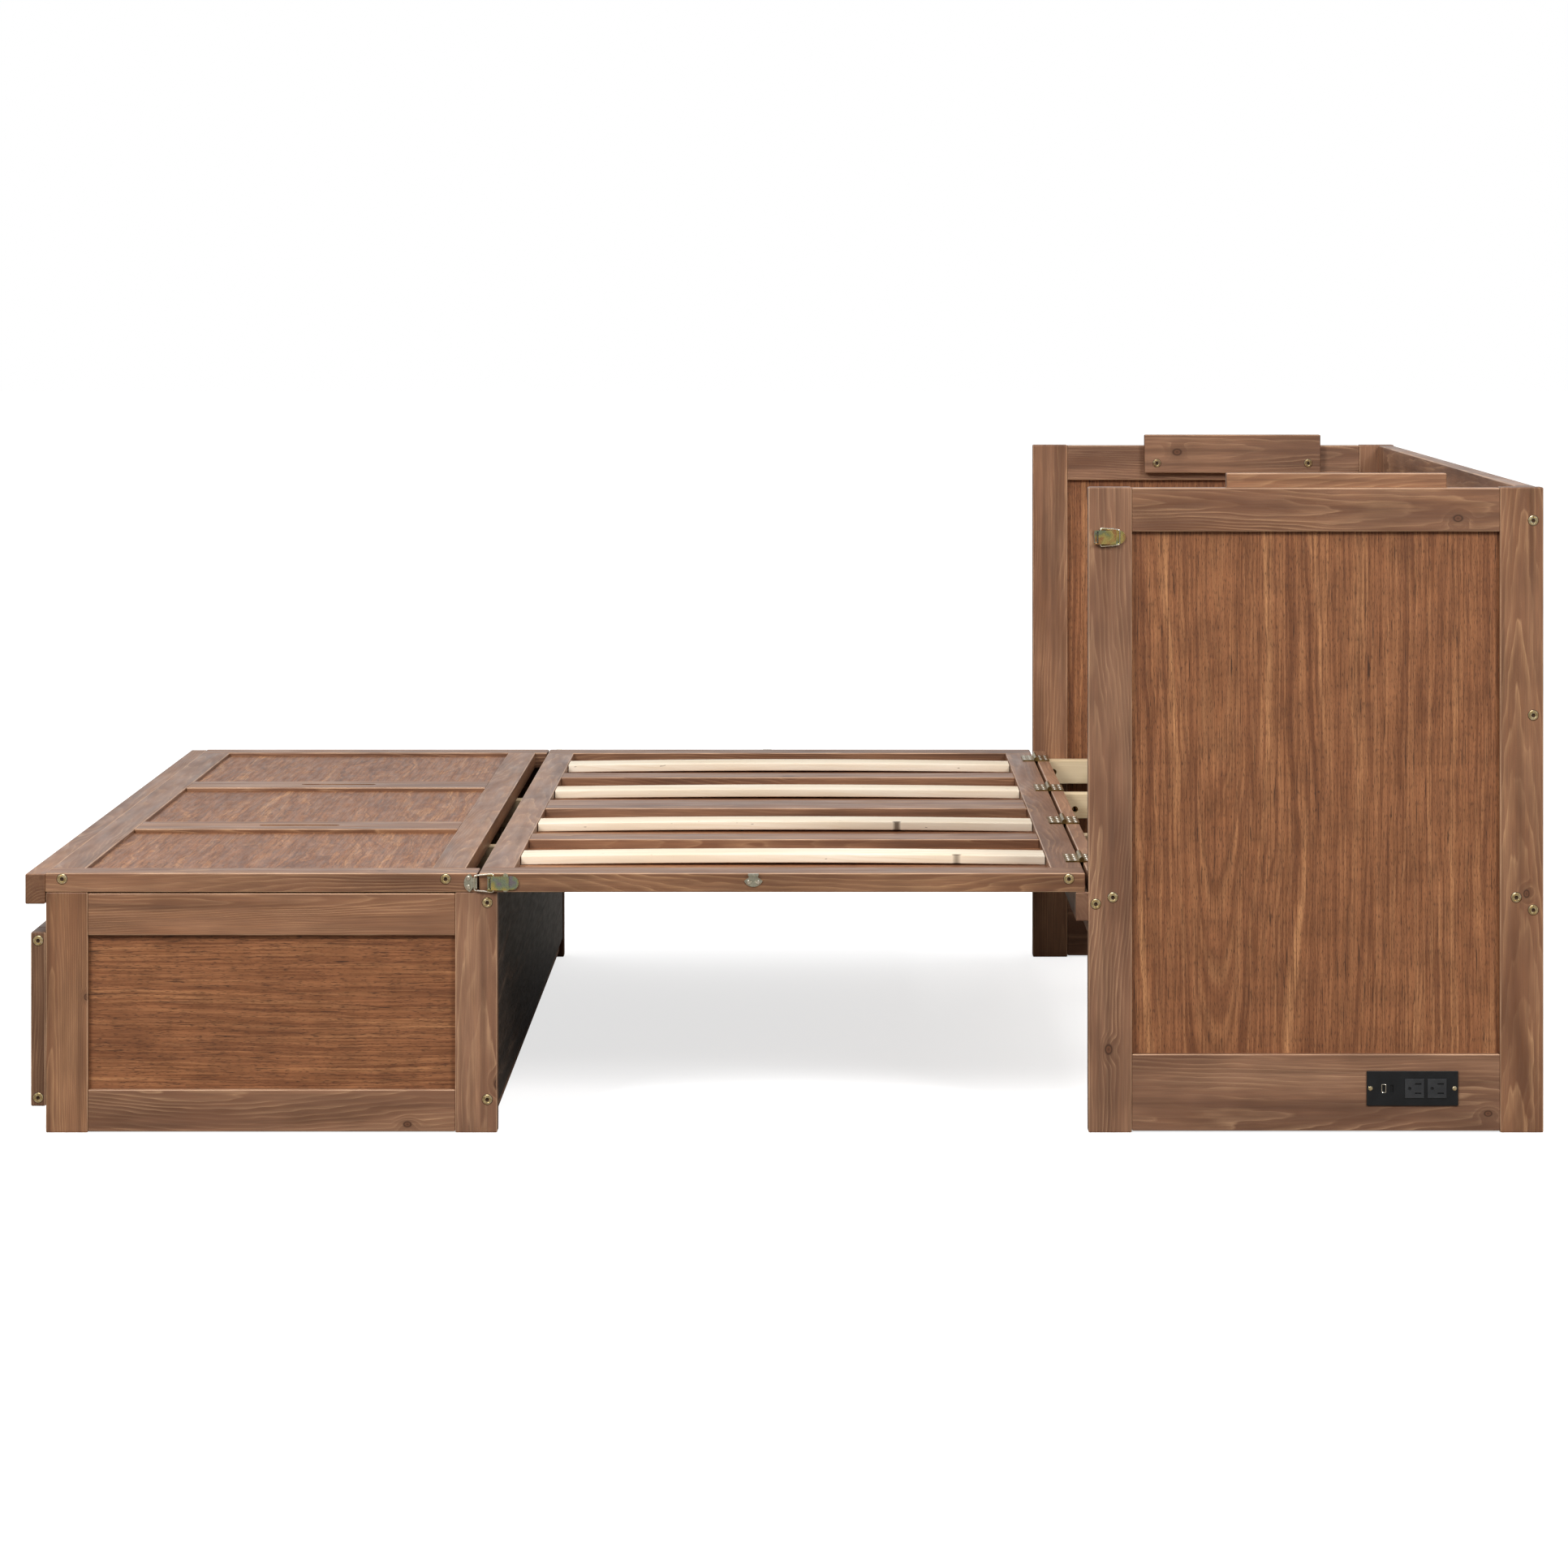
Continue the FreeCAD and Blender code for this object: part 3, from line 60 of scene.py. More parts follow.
def add(tree, kind, inputs=None, stops=None, **settings):
    """Adds a node with its settings, sets or links its inputs, and gives its first live output."""
    node = tree.nodes.new(kind)
    for name, value in settings.items():
        setattr(node, name, value)
    for place, value in (inputs or {}).items():
        for one in value if isinstance(value, list) else [value]:
            if isinstance(one, bpy.types.NodeSocket):
                tree.links.new(one, node.inputs[place])
            else:
                node.inputs[place].default_value = one
    if stops:
        ramp = node.color_ramp.elements
        ramp.remove(ramp[1])
        ramp[0].position, ramp[0].color = stops[0][0], linear(stops[0][1])
        for place, colour in stops[1:]:
            ramp.new(place).color = linear(colour)
    return next((out for out in node.outputs if out.enabled), node)


def start_finish(name):
    """Starts a finish with nothing on it yet, and gives it with its node tree."""
    finish = bpy.data.materials.new(name)
    finish.use_nodes = True
    finish.node_tree.nodes.clear()
    return finish, finish.node_tree


def seen_plainly(tree):
    """1 where the camera looks, straight or through a clear thing, and 0 where light is gathered."""
    path = add(tree, "ShaderNodeLightPath").node.outputs
    seen = {0: path["Is Camera Ray"], 1: path["Is Transmission Ray"]}
    return add(tree, "ShaderNodeMath", seen, operation="MAXIMUM")


studio = bpy.context.scene
studio.view_settings.view_transform = "Standard"

# The camera looks level, and its picture is shifted down to take in the floor.
camera = bpy.data.objects.new("camera", bpy.data.cameras.new("camera"))
camera.data.lens, camera.data.sensor_width, camera.data.clip_end = 102.3, 36.0, 100.0
camera.data.shift_x, camera.data.shift_y = -0.0228, -0.320
camera.location, camera.rotation_euler = (0.048, -6.840, 1.153), (math.radians(90), 0, 0)
studio.collection.objects.link(camera)
studio.camera = camera

# The sky lights the bed more from above, and gloss mirrors it brighter from behind.
sky = bpy.data.worlds.new("studio_sky")
sky.use_nodes = True
tree = sky.node_tree
tree.nodes.clear()
ahead = add(tree, "ShaderNodeTexCoord").node.outputs["Generated"]
behind, up = add(tree, "ShaderNodeSeparateXYZ", {0: ahead}).node.outputs[1:]
mirrored = add(tree, "ShaderNodeLightPath").node.outputs["Is Glossy Ray"]
overhead = add(tree, "ShaderNodeMapRange", {0: up, 1: 0.0, 2: 0.8, 3: 0.10, 4: 0.55})
backlit = add(tree, "ShaderNodeMapRange", {0: behind, 1: -0.3, 2: 0.5, 3: 0.34, 4: 0.85})
lighting = add(tree, "ShaderNodeMix", {0: mirrored, 2: overhead, 3: backlit})
brightness = add(tree, "ShaderNodeMix", {0: seen_plainly(tree), 2: lighting, 3: 1.0})
backdrop = add(tree, "ShaderNodeBackground", {"Color": linear("#FFFFFF"), "Strength": brightness})
add(tree, "ShaderNodeOutputWorld", {"Surface": backdrop})
studio.world = sky

# The floor looks white and keeps its shadows, but throws only a dull light back up.
pale_floor, tree = start_finish("pale_studio_floor")
matt = add(tree, "ShaderNodeBsdfDiffuse", {"Color": linear("#FFFFFF")})
glow = add(tree, "ShaderNodeEmission", {"Color": linear("#FFFFFF"), "Strength": 0.72})
shown = add(tree, "ShaderNodeAddShader", {0: matt, 1: glow})
dull = add(tree, "ShaderNodeBsdfDiffuse", {"Color": linear("#8C867E")})
covered = add(tree, "ShaderNodeMixShader", {0: seen_plainly(tree), 1: dull, 2: shown})
add(tree, "ShaderNodeOutputMaterial", {"Surface": covered})

left, right, front, back = -30, 30, -12, 40
floor_corners = [(left, front, 0), (right, front, 0), (right, back, 0), (left, back, 0)]
floor_mesh = bpy.data.meshes.new("studio_floor")
floor_mesh.from_pydata(floor_corners, [], [(0, 1, 2, 3)])
floor_mesh.materials.append(pale_floor)
studio_floor = bpy.data.objects.new("studio_floor", floor_mesh)
studio.collection.objects.link(studio_floor)

# Each lamp's place and the side of its square in metres, its turn in degrees, its watts.
for name, place, turn, side, power in (
    ("foot_side_lamp", (-3.0, -4.8, 3.9), (53, 0, -32), 1.8, 220),
    ("head_side_lamp", (3.2, -5.0, 3.5), (57, 0, 32), 1.8, 190),
    ("top_lamp", (-0.4, -1.0, 4.2), (0, 0, 0), 2.6, 62),
):
    lamp = bpy.data.objects.new(name, bpy.data.lights.new(name, "AREA"))
    lamp.data.size, lamp.data.energy = side, power
    lamp.location, lamp.rotation_euler = place, [math.radians(angle) for angle in turn]
    studio.collection.objects.link(lamp)

# ------------------------------------------------- frame of the head cabinet
# Each side of the cabinet is a frame of planed pine, two stiles and two rails
# with eased edges, and the back is a third frame between them. The wood is
# stained mid-brown and sealed with a satin lacquer, and so is all the framing.

sharp_corner = math.radians(35)
no_knot = (9.0, 9.0, 0.001)  # so far off its board that it never shows


def solids(node):
    """Gives each loose solid of a CAD node as its corners and its triangles."""
    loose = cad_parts[node].data
    corners = np.empty(len(loose.vertices) * 3)
    loose.vertices.foreach_get("co", corners)
    corners, place = np.unique(np.round(corners.reshape(-1, 3), 6), axis=0, return_inverse=True)
    faces = place.reshape(-1)[np.array([face.vertices[:] for face in loose.polygons])]
    faces = faces[[len(set(face)) == 3 for face in faces.tolist()]]
    edges = np.sort(faces[:, [0, 1, 1, 2, 2, 0]].reshape(-1, 2), axis=1)
    edge = np.unique(edges, axis=0, return_inverse=True)[1].reshape(-1)
    meets = (np.argsort(edge, kind="stable") // 3).reshape(-1, 2)
    # Two triangles meet at each edge, and the lowest number spreads over each solid.
    solid_of = np.arange(len(faces))
    while True:
        lowest = solid_of[meets].min(axis=1)
        joined = solid_of.copy()
        np.minimum.at(joined, meets[:, 0], lowest)
        np.minimum.at(joined, meets[:, 1], lowest)
        joined = joined[joined]
        if (joined == solid_of).all():
            break
        solid_of = joined
    for one in np.unique(solid_of):
        used, local = np.unique(faces[solid_of == one], return_inverse=True)
        yield corners[used], local.reshape(-1, 3)


def tell(mesh, told):
    """Writes numbers or vectors on a mesh's points, each under its own label."""
    for label, values in told.items():
        values = np.array(values, dtype=float)
        kind, field = ("FLOAT", "value") if values.ndim == 1 else ("FLOAT_VECTOR", "vector")
        mesh.attributes.new(label, kind, "POINT").data.foreach_set(field, values.ravel())


def as_plain_mesh(piece):
    """The mesh that a piece's modifiers make, with nothing live left on the piece."""
    whole = piece.evaluated_get(bpy.context.evaluated_depsgraph_get())
    piece.data = bpy.data.meshes.new_from_object(whole)
    piece.modifiers.clear()


def boards(name, body, node, finish, grain=None, marks=(), chance=0.0, shade=1.0):
    """Makes a CAD node's boards again as one piece, each board knowing its own grain.

    Its points carry where they are on their board (along, across and through the
    grain, from its middle), half the board's size, a number of its own, the place
    and radius of its knot or figure, and a level for its lightness. grain is 0, 1
    or 2 for x, y or z; left out, it is each board's long way. marks are (x, y, z,
    radius) in mm. chance is how likely a board is to have a knot. The last argument
    is that level, which scales how light the board is drawn: partly the stain's own
    tone, and partly painted light or painted shade where a board stands in more or
    less light.
    """
    luck = random.Random(node)
    points, triangles = [], []
    told = {"board": [], "half": [], "knot": [], "seed": [], "shade": []}
    reach = 0.004  # a mark may lie this far off the board's faces, in metres
    for corners, faces in solids(node):
        triangles.append(faces + sum(len(p) for p in points))
        points.append(corners)
        low, high = corners.min(axis=0), corners.max(axis=0)
        middle, half = (low + high) / 2, (high - low) / 2
        order = sorted(range(3), key=lambda axis: (axis != grain, -half[axis]))
        along, across = luck.uniform(-0.8, 0.8), luck.uniform(-0.6, 0.6)
        knot = (along * half[order[0]], across * half[order[1]], luck.uniform(0.003, 0.007))
        if luck.random() >= chance:
            knot = no_knot
        for x, y, z, radius in marks:
            spot = np.array((x, y, z)) / 1000
            if (spot > low - reach).all() and (spot < high + reach).all():
                knot = (*(spot - middle)[order[:2]], radius / 1000)
        told["board"].append((corners - middle)[:, order])
        told["half"].append(np.tile(half[order], (len(corners), 1)))
        told["knot"].append(np.tile(knot, (len(corners), 1)))
        told["seed"].append(np.full(len(corners), luck.uniform(0.0, 60.0)))
        told["shade"].append(np.full(len(corners), shade))

    mesh = bpy.data.meshes.new(name)
    mesh.from_pydata(np.concatenate(points), [], np.concatenate(triangles))
    tell(mesh, {label: np.concatenate(values) for label, values in told.items()})
    mesh.shade_smooth()
    mesh.set_sharp_from_angle(angle=sharp_corner)
    mesh.materials.append(finish)
    piece = bpy.data.objects.new(name, mesh)
    studio.collection.objects.link(piece)
    piece.modifiers.new("flat_faces_stay_flat", "WEIGHTED_NORMAL").keep_sharp = True
    as_plain_mesh(piece)
    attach(piece, body)
    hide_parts(node)


def on_board(tree, *labels):
    """Where a point is on its board, in mm, moved by the board's own number.

    After it come that number, the place as it is, and each label asked for in mm.
    """
    in_mm = []
    for label in ("board", *labels):
        told = add(tree, "ShaderNodeAttribute", attribute_name=label).node.outputs["Vector"]
        metres = {0: told, 1: (1000, 1000, 1000)}
        in_mm.append(add(tree, "ShaderNodeVectorMath", metres, operation="MULTIPLY"))
    seed = add(tree, "ShaderNodeAttribute", attribute_name="seed").node.outputs["Fac"]
    apart = {0: seed, 1: (811, 173, 97), 2: in_mm[0]}
    return add(tree, "ShaderNodeVectorMath", apart, operation="MULTIPLY_ADD"), seed, *in_mm


def streaks(tree, place, long, wide, detail=2.0, low=0.35, high=0.65, rise=(0.0, 1.0)):
    """A soft pattern, long mm along the grain and wide mm across it.

    It goes from rise[0] where the noise is low to rise[1] where it is high.
    """
    spread = {0: place, 1: (1 / long, 1 / wide, 1 / wide)}
    spread = add(tree, "ShaderNodeVectorMath", spread, operation="MULTIPLY")
    waves = add(tree, "ShaderNodeTexNoise", {"Vector": spread, "Scale": 1.0, "Detail": detail})
    return add(tree, "ShaderNodeMapRange", {0: waves, 1: low, 2: high, 3: rise[0], 4: rise[1]})


def straight_line(tree, one_way, other_way):
    """The distance that two lengths at right angles make together."""
    corner = add(tree, "ShaderNodeCombineXYZ", {0: one_way, 1: other_way})
    return add(tree, "ShaderNodeVectorMath", {0: corner}, operation="LENGTH").node.outputs["Value"]


def from_knot(tree, along, across, knot, squeeze):
    """How far a point is from its board's knot, in knot radii; squeeze draws the knot out."""
    knot_along, knot_across, radius = add(tree, "ShaderNodeSeparateXYZ", {0: knot}).node.outputs
    away_along = add(tree, "ShaderNodeMath", {0: along, 1: knot_along}, operation="SUBTRACT")
    away_along = add(tree, "ShaderNodeMath", {0: away_along, 1: squeeze}, operation="MULTIPLY")
    away_across = add(tree, "ShaderNodeMath", {0: across, 1: knot_across}, operation="SUBTRACT")
    away = straight_line(tree, away_along, away_across)
    return add(tree, "ShaderNodeMath", {0: away, 1: radius}, operation="DIVIDE")


def three_chances(tree, seed):
    """Three numbers from 0 to 1 that are each board's own."""
    noise = add(tree, "ShaderNodeTexWhiteNoise", {"W": seed}, noise_dimensions="1D")
    return add(tree, "ShaderNodeSeparateColor", {0: noise.node.outputs["Color"]}).node.outputs


# Pine stained mid-brown under satin lacquer: the soft early wood drinks the
# stain and goes dark, the hard growth lines stay tan, and the long edges are
# paler, partly from wear and partly as a painted highlight on their eased rounds.
stained_pine, tree = start_finish("stained_pine")
own, seed, in_mm, half, knot = on_board(tree, "half", "knot")
luck_a, luck_b, luck_c = three_chances(tree, seed)
along, across, through = add(tree, "ShaderNodeSeparateXYZ", {0: in_mm}).node.outputs
away = from_knot(tree, along, across, knot, 0.72)
bulge = {0: away, 1: 0.6, 2: 4.5, 3: 1.6, 4: 0.0}
bulge = add(tree, "ShaderNodeMapRange", bulge, interpolation_type="SMOOTHERSTEP")

# The growth lines: cylinders round a pith that lies under the board and wanders,
# 3.4 to 5.9 mm apart, pushed aside by the knot.
wander = streaks(tree, own, 620, 150, 1.0, 0.2, 0.8, (-26, 26))
pith = add(tree, "ShaderNodeMapRange", {0: luck_a, 3: -42.0, 4: 42.0})
sideways = add(tree, "ShaderNodeMath", {0: across, 1: pith}, operation="SUBTRACT")
sideways = add(tree, "ShaderNodeMath", {0: sideways, 1: wander}, operation="ADD")
depth = add(tree, "ShaderNodeMapRange", {0: luck_b, 3: 16.0, 4: 60.0})
deep = add(tree, "ShaderNodeMath", {0: through, 1: depth}, operation="ADD")
deep = add(tree, "ShaderNodeMath", {0: along, 1: 0.035, 2: deep}, operation="MULTIPLY_ADD")
spacing = add(tree, "ShaderNodeMapRange", {0: luck_c, 3: 0.17, 4: 0.29})
years = {0: straight_line(tree, sideways, deep), 1: spacing, 2: bulge}
years = add(tree, "ShaderNodeMath", years, operation="MULTIPLY_ADD")
ripple = streaks(tree, own, 90, 16, 2.0, 0.2, 0.8, (-0.5, 0.5))
years = add(tree, "ShaderNodeMath", {0: years, 1: ripple}, operation="ADD")
season = add(tree, "ShaderNodeMath", {0: years}, operation="FRACT")
year = [(0.0, 0.0), (0.45, 0.06), (0.8, 0.55), (0.9, 1.0), (1.0, 0.0)]
late = add(tree, "ShaderNodeValToRGB", {0: season}, stops=year)
patchy = streaks(tree, own, 210, 26, 1.0, 0.35, 0.66, (0.14, 0.95))
late = add(tree, "ShaderNodeMath", {0: late, 1: patchy}, operation="MULTIPLY")

# The stain: uneven, with dark bands, fine dark fibres, and a depth of its own on each board.
stains = [(0.0, "#6C4833"), (0.5, "#886047"), (1.0, "#9B7256")]
ground = add(tree, "ShaderNodeValToRGB", {0: streaks(tree, own, 330, 46, 3.0)}, stops=stains)
lined = add(tree, "ShaderNodeMix", {0: late, 6: ground, 7: linear("#BF9570")}, data_type="RGBA")
bands = streaks(tree, own, 480, 13, 2.0, 0.5, 0.7, (0.0, 0.6))
banded = add(tree, "ShaderNodeMix", {0: bands, 6: lined, 7: linear("#573A29")}, data_type="RGBA")
fibre = streaks(tree, own, 46, 1.1, 3.0, 0.3, 0.7, (0.0, 0.55))
fibres = add(tree, "ShaderNodeMix", {0: fibre, 6: banded, 7: linear("#6E5040")}, data_type="RGBA")
depth = add(tree, "ShaderNodeMapRange", {0: luck_a, 3: 0.95, 4: 1.05})
clouds = streaks(tree, own, 95, 60, 2.0, 0.3, 0.7, (0.84, 1.10))
clouds = add(tree, "ShaderNodeMath", {0: depth, 1: clouds}, operation="MULTIPLY")
# Each board's lightness is scaled by its level: partly the stain's own tone, partly painted light or painted
# shade.
shade = add(tree, "ShaderNodeAttribute", attribute_name="shade").node.outputs["Fac"]
clouds = add(tree, "ShaderNodeMath", {0: clouds, 1: shade}, operation="MULTIPLY")
warmth = add(tree, "ShaderNodeMapRange", {0: luck_c, 3: 0.94, 4: 1.06})
tint = {"Saturation": warmth, "Value": clouds, "Color": fibres}
tint = add(tree, "ShaderNodeHueSaturation", tint)

# The knot's rings, and the darker wood round it.
rings = [(0.0, "#4A3023"), (0.55, "#6A4632"), (0.85, "#3A261B"), (1.0, "#4A3225")]
core = add(tree, "ShaderNodeValToRGB", {0: away}, stops=rings)
in_knot = add(tree, "ShaderNodeMapRange", {0: away, 1: 0.9, 2: 1.25, 3: 0.92, 4: 0.0})
halo = add(tree, "ShaderNodeMapRange", {0: away, 1: 1.0, 2: 3.2, 3: 0.42, 4: 0.0})
haloed = add(tree, "ShaderNodeMix", {0: halo, 6: tint, 7: linear("#5A3E2E")}, data_type="RGBA")
knotted = add(tree, "ShaderNodeMix", {0: in_knot, 6: haloed, 7: core}, data_type="RGBA")

# The long edges are drawn pale, 0.5 to 1.7 mm in: partly rubbed wear, partly a painted highlight. The cut
# ends are dark.
place = add(tree, "ShaderNodeVectorMath", {0: in_mm}, operation="ABSOLUTE")
inset = add(tree, "ShaderNodeVectorMath", {0: half, 1: place}, operation="SUBTRACT")
end, side, face = add(tree, "ShaderNodeSeparateXYZ", {0: inset}).node.outputs
edge = add(tree, "ShaderNodeMath", {0: side, 1: face}, operation="MAXIMUM")
rub_and_highlight = add(tree, "ShaderNodeMapRange", {0: edge, 1: 0.5, 2: 1.7, 3: 1.0, 4: 0.0})
patchy = streaks(tree, own, 90, 9, 2.0, 0.36, 0.6, (0.35, 1.0))
rub_and_highlight = add(tree, "ShaderNodeMath", {0: rub_and_highlight, 1: patchy}, operation="MULTIPLY")
worn_and_highlit = add(tree, "ShaderNodeMix", {0: rub_and_highlight, 6: knotted, 7: linear("#D2AB8A")}, data_type="RGBA")
cut_end = add(tree, "ShaderNodeMapRange", {0: end, 1: 0.25, 2: 0.5, 3: 0.5, 4: 0.0})
ended = add(tree, "ShaderNodeMix", {0: cut_end, 6: worn_and_highlit, 7: linear("#54392A")}, data_type="RGBA")

relief = add(tree, "ShaderNodeMath", {0: fibre, 1: late}, operation="ADD")
feel = add(tree, "ShaderNodeBump", {"Strength": 0.35, "Distance": 0.0003, "Height": relief})
gloss = streaks(tree, own, 120, 20, 2.0, 0.3, 0.7, (0.34, 0.48))
lacquer = {"Base Color": ended, "Roughness": gloss, "IOR": 1.5, "Specular IOR Level": 0.3, "Normal": feel}
lacquered = add(tree, "ShaderNodeBsdfPrincipled", lacquer)
add(tree, "ShaderNodeOutputMaterial", {"Surface": lacquered})

for node in (
    "cabinet_front_stiles", "cabinet_back_stiles", "cabinet_top_rails", "cabinet_near_bottom_rail",
    "cabinet_far_bottom_rail", "locating_boards", "back_end_stiles", "back_mid_stiles", "back_rails",
):
    boards(
        "frame_" + node, "cabinet", node, stained_pine, chance=0.3,
        marks=[(439.6, -800, 113, 5), (1006, -800, 324, 4), (954, -800, 26, 4)],
    )

# ------------------------------------------------ veneered panels of the cabinet
# A sheet of walnut-faced plywood fills each frame, held in a groove all round.
# The side sheets have their grain upright, with one tall cathedral figure.

# Sliced walnut under the same lacquer: broad warm bands, fine dark streaks and
# short open pores, and the sharp tongues of a cathedral where the slice was flat.


def veneer(name, light, middle, dark, line, figure=0.3):
    """A sliced veneer's finish in four colours of one wood; figure is how far its bands bend."""
    finish, tree = start_finish(name)
    own, seed, in_mm, crown = on_board(tree, "knot")
    along, across = add(tree, "ShaderNodeSeparateXYZ", {0: in_mm}).node.outputs[:2]
    top_along, top_across = add(tree, "ShaderNodeSeparateXYZ", {0: crown}).node.outputs[:2]

    # The sheet is cut from cylinders round a core that wanders, and leans by 0.07.
    wander = streaks(tree, own, 420, 90, 1.0, 0.2, 0.8, (-40 * figure, 40 * figure))
    ripple = streaks(tree, own, 60, 22, 2.0, 0.2, 0.8, (-8 * figure, 8 * figure))
    bend = add(tree, "ShaderNodeMath", {0: wander, 1: ripple}, operation="ADD")
    sideways = add(tree, "ShaderNodeMath", {0: across, 1: top_across}, operation="SUBTRACT")
    sideways = add(tree, "ShaderNodeMath", {0: sideways, 1: bend}, operation="ADD")
    rising = add(tree, "ShaderNodeMath", {0: along, 1: top_along}, operation="SUBTRACT")
    rising = add(tree, "ShaderNodeMath", {0: rising, 1: 0.07}, operation="MULTIPLY")
    radius = straight_line(tree, sideways, rising)
    shifted = add(tree, "ShaderNodeMath", {0: along, 1: seed}, operation="ADD")
    leaf = add(tree, "ShaderNodeCombineXYZ", {0: shifted, 1: radius, 2: seed})

    broad = streaks(tree, leaf, 900, 15, 3.0, 0.3, 0.7)
    bands = [(0.0, dark), (0.38, middle), (0.66, middle), (1.0, light)]
    colour = add(tree, "ShaderNodeValToRGB", {0: broad}, stops=bands)

    # Narrow dark and light bands follow the figure. Fine rays, short ink lines and
    # open pores, drawn last, run straight. Each has its length and width in mm, the
    # noise's detail and limits, its strength and its colour.
    for place, long, wide, detail, low, high, strength, tone in (
        (leaf, 330, 4.2, 2.0, 0.46, 0.70, 0.75, dark),
        (leaf, 260, 4.4, 2.0, 0.50, 0.72, 0.45, light),
        (own, 120, 2.3, 2.0, 0.44, 0.68, 0.85, dark),
        (own, 55, 2.2, 1.0, 0.68, 0.74, 0.8, line),
        (own, 8, 0.9, 1.0, 0.56, 0.70, 0.7, line),
    ):
        marks = streaks(tree, place, long, wide, detail, low, high, (0.0, strength))
        colour = add(tree, "ShaderNodeMix", {0: marks, 6: colour, 7: linear(tone)}, data_type="RGBA")

    # Each board's lightness is scaled by its level: partly the veneer's own tone, partly painted light or
    # painted shade.
    shade = add(tree, "ShaderNodeAttribute", attribute_name="shade").node.outputs["Fac"]
    shimmer = streaks(tree, own, 30, 45, 2.0, 0.3, 0.7, (0.88, 1.12))
    shimmer = add(tree, "ShaderNodeMath", {0: shade, 1: shimmer}, operation="MULTIPLY")
    colour = add(tree, "ShaderNodeHueSaturation", {"Value": shimmer, "Color": colour})
    pores = {"Strength": 0.3, "Distance": 0.0002, "Height": marks}
    feel = add(tree, "ShaderNodeBump", pores, invert=True)
    gloss = streaks(tree, own, 60, 8, 2.0, 0.3, 0.7, (0.40, 0.54))
    seal = {"Base Color": colour, "Roughness": gloss, "IOR": 1.5, "Specular IOR Level": 0.28, "Normal": feel}
    sealed = add(tree, "ShaderNodeBsdfPrincipled", seal)
    add(tree, "ShaderNodeOutputMaterial", {"Surface": sealed})
    return finish


walnut_veneer = veneer("walnut_veneer", "#B58056", "#915F3E", "#6B4129", "#38241A")
boards(
    "veneer_cabinet_side_panels", "cabinet", "cabinet_side_panels", walnut_veneer, grain=2,
    marks=[(590, -788, 815, 6), (640, 788, 815, 6)],
)
boards("veneer_back_panels", "cabinet", "back_panels", walnut_veneer, grain=2)

# ----------------------------------------------------------- the head platform
# Inside the cabinet a beam and four joists carry five loose cross slats level
# with the hinged platform. A ledger under the beam's front takes its end rail.

# The beam and the ledger are drawn 1.2 times lighter: painted light, where they stand in shade under the
# platform.
for node in ("head_front_beam", "head_rest_ledger"):
    boards("frame_" + node, "cabinet", node, stained_pine, chance=0.3, shade=1.2)

# Bare pine, planed and sanded: cream with faint straw growth lines, a few
# small dark flecks, and no lacquer, so it is matt.


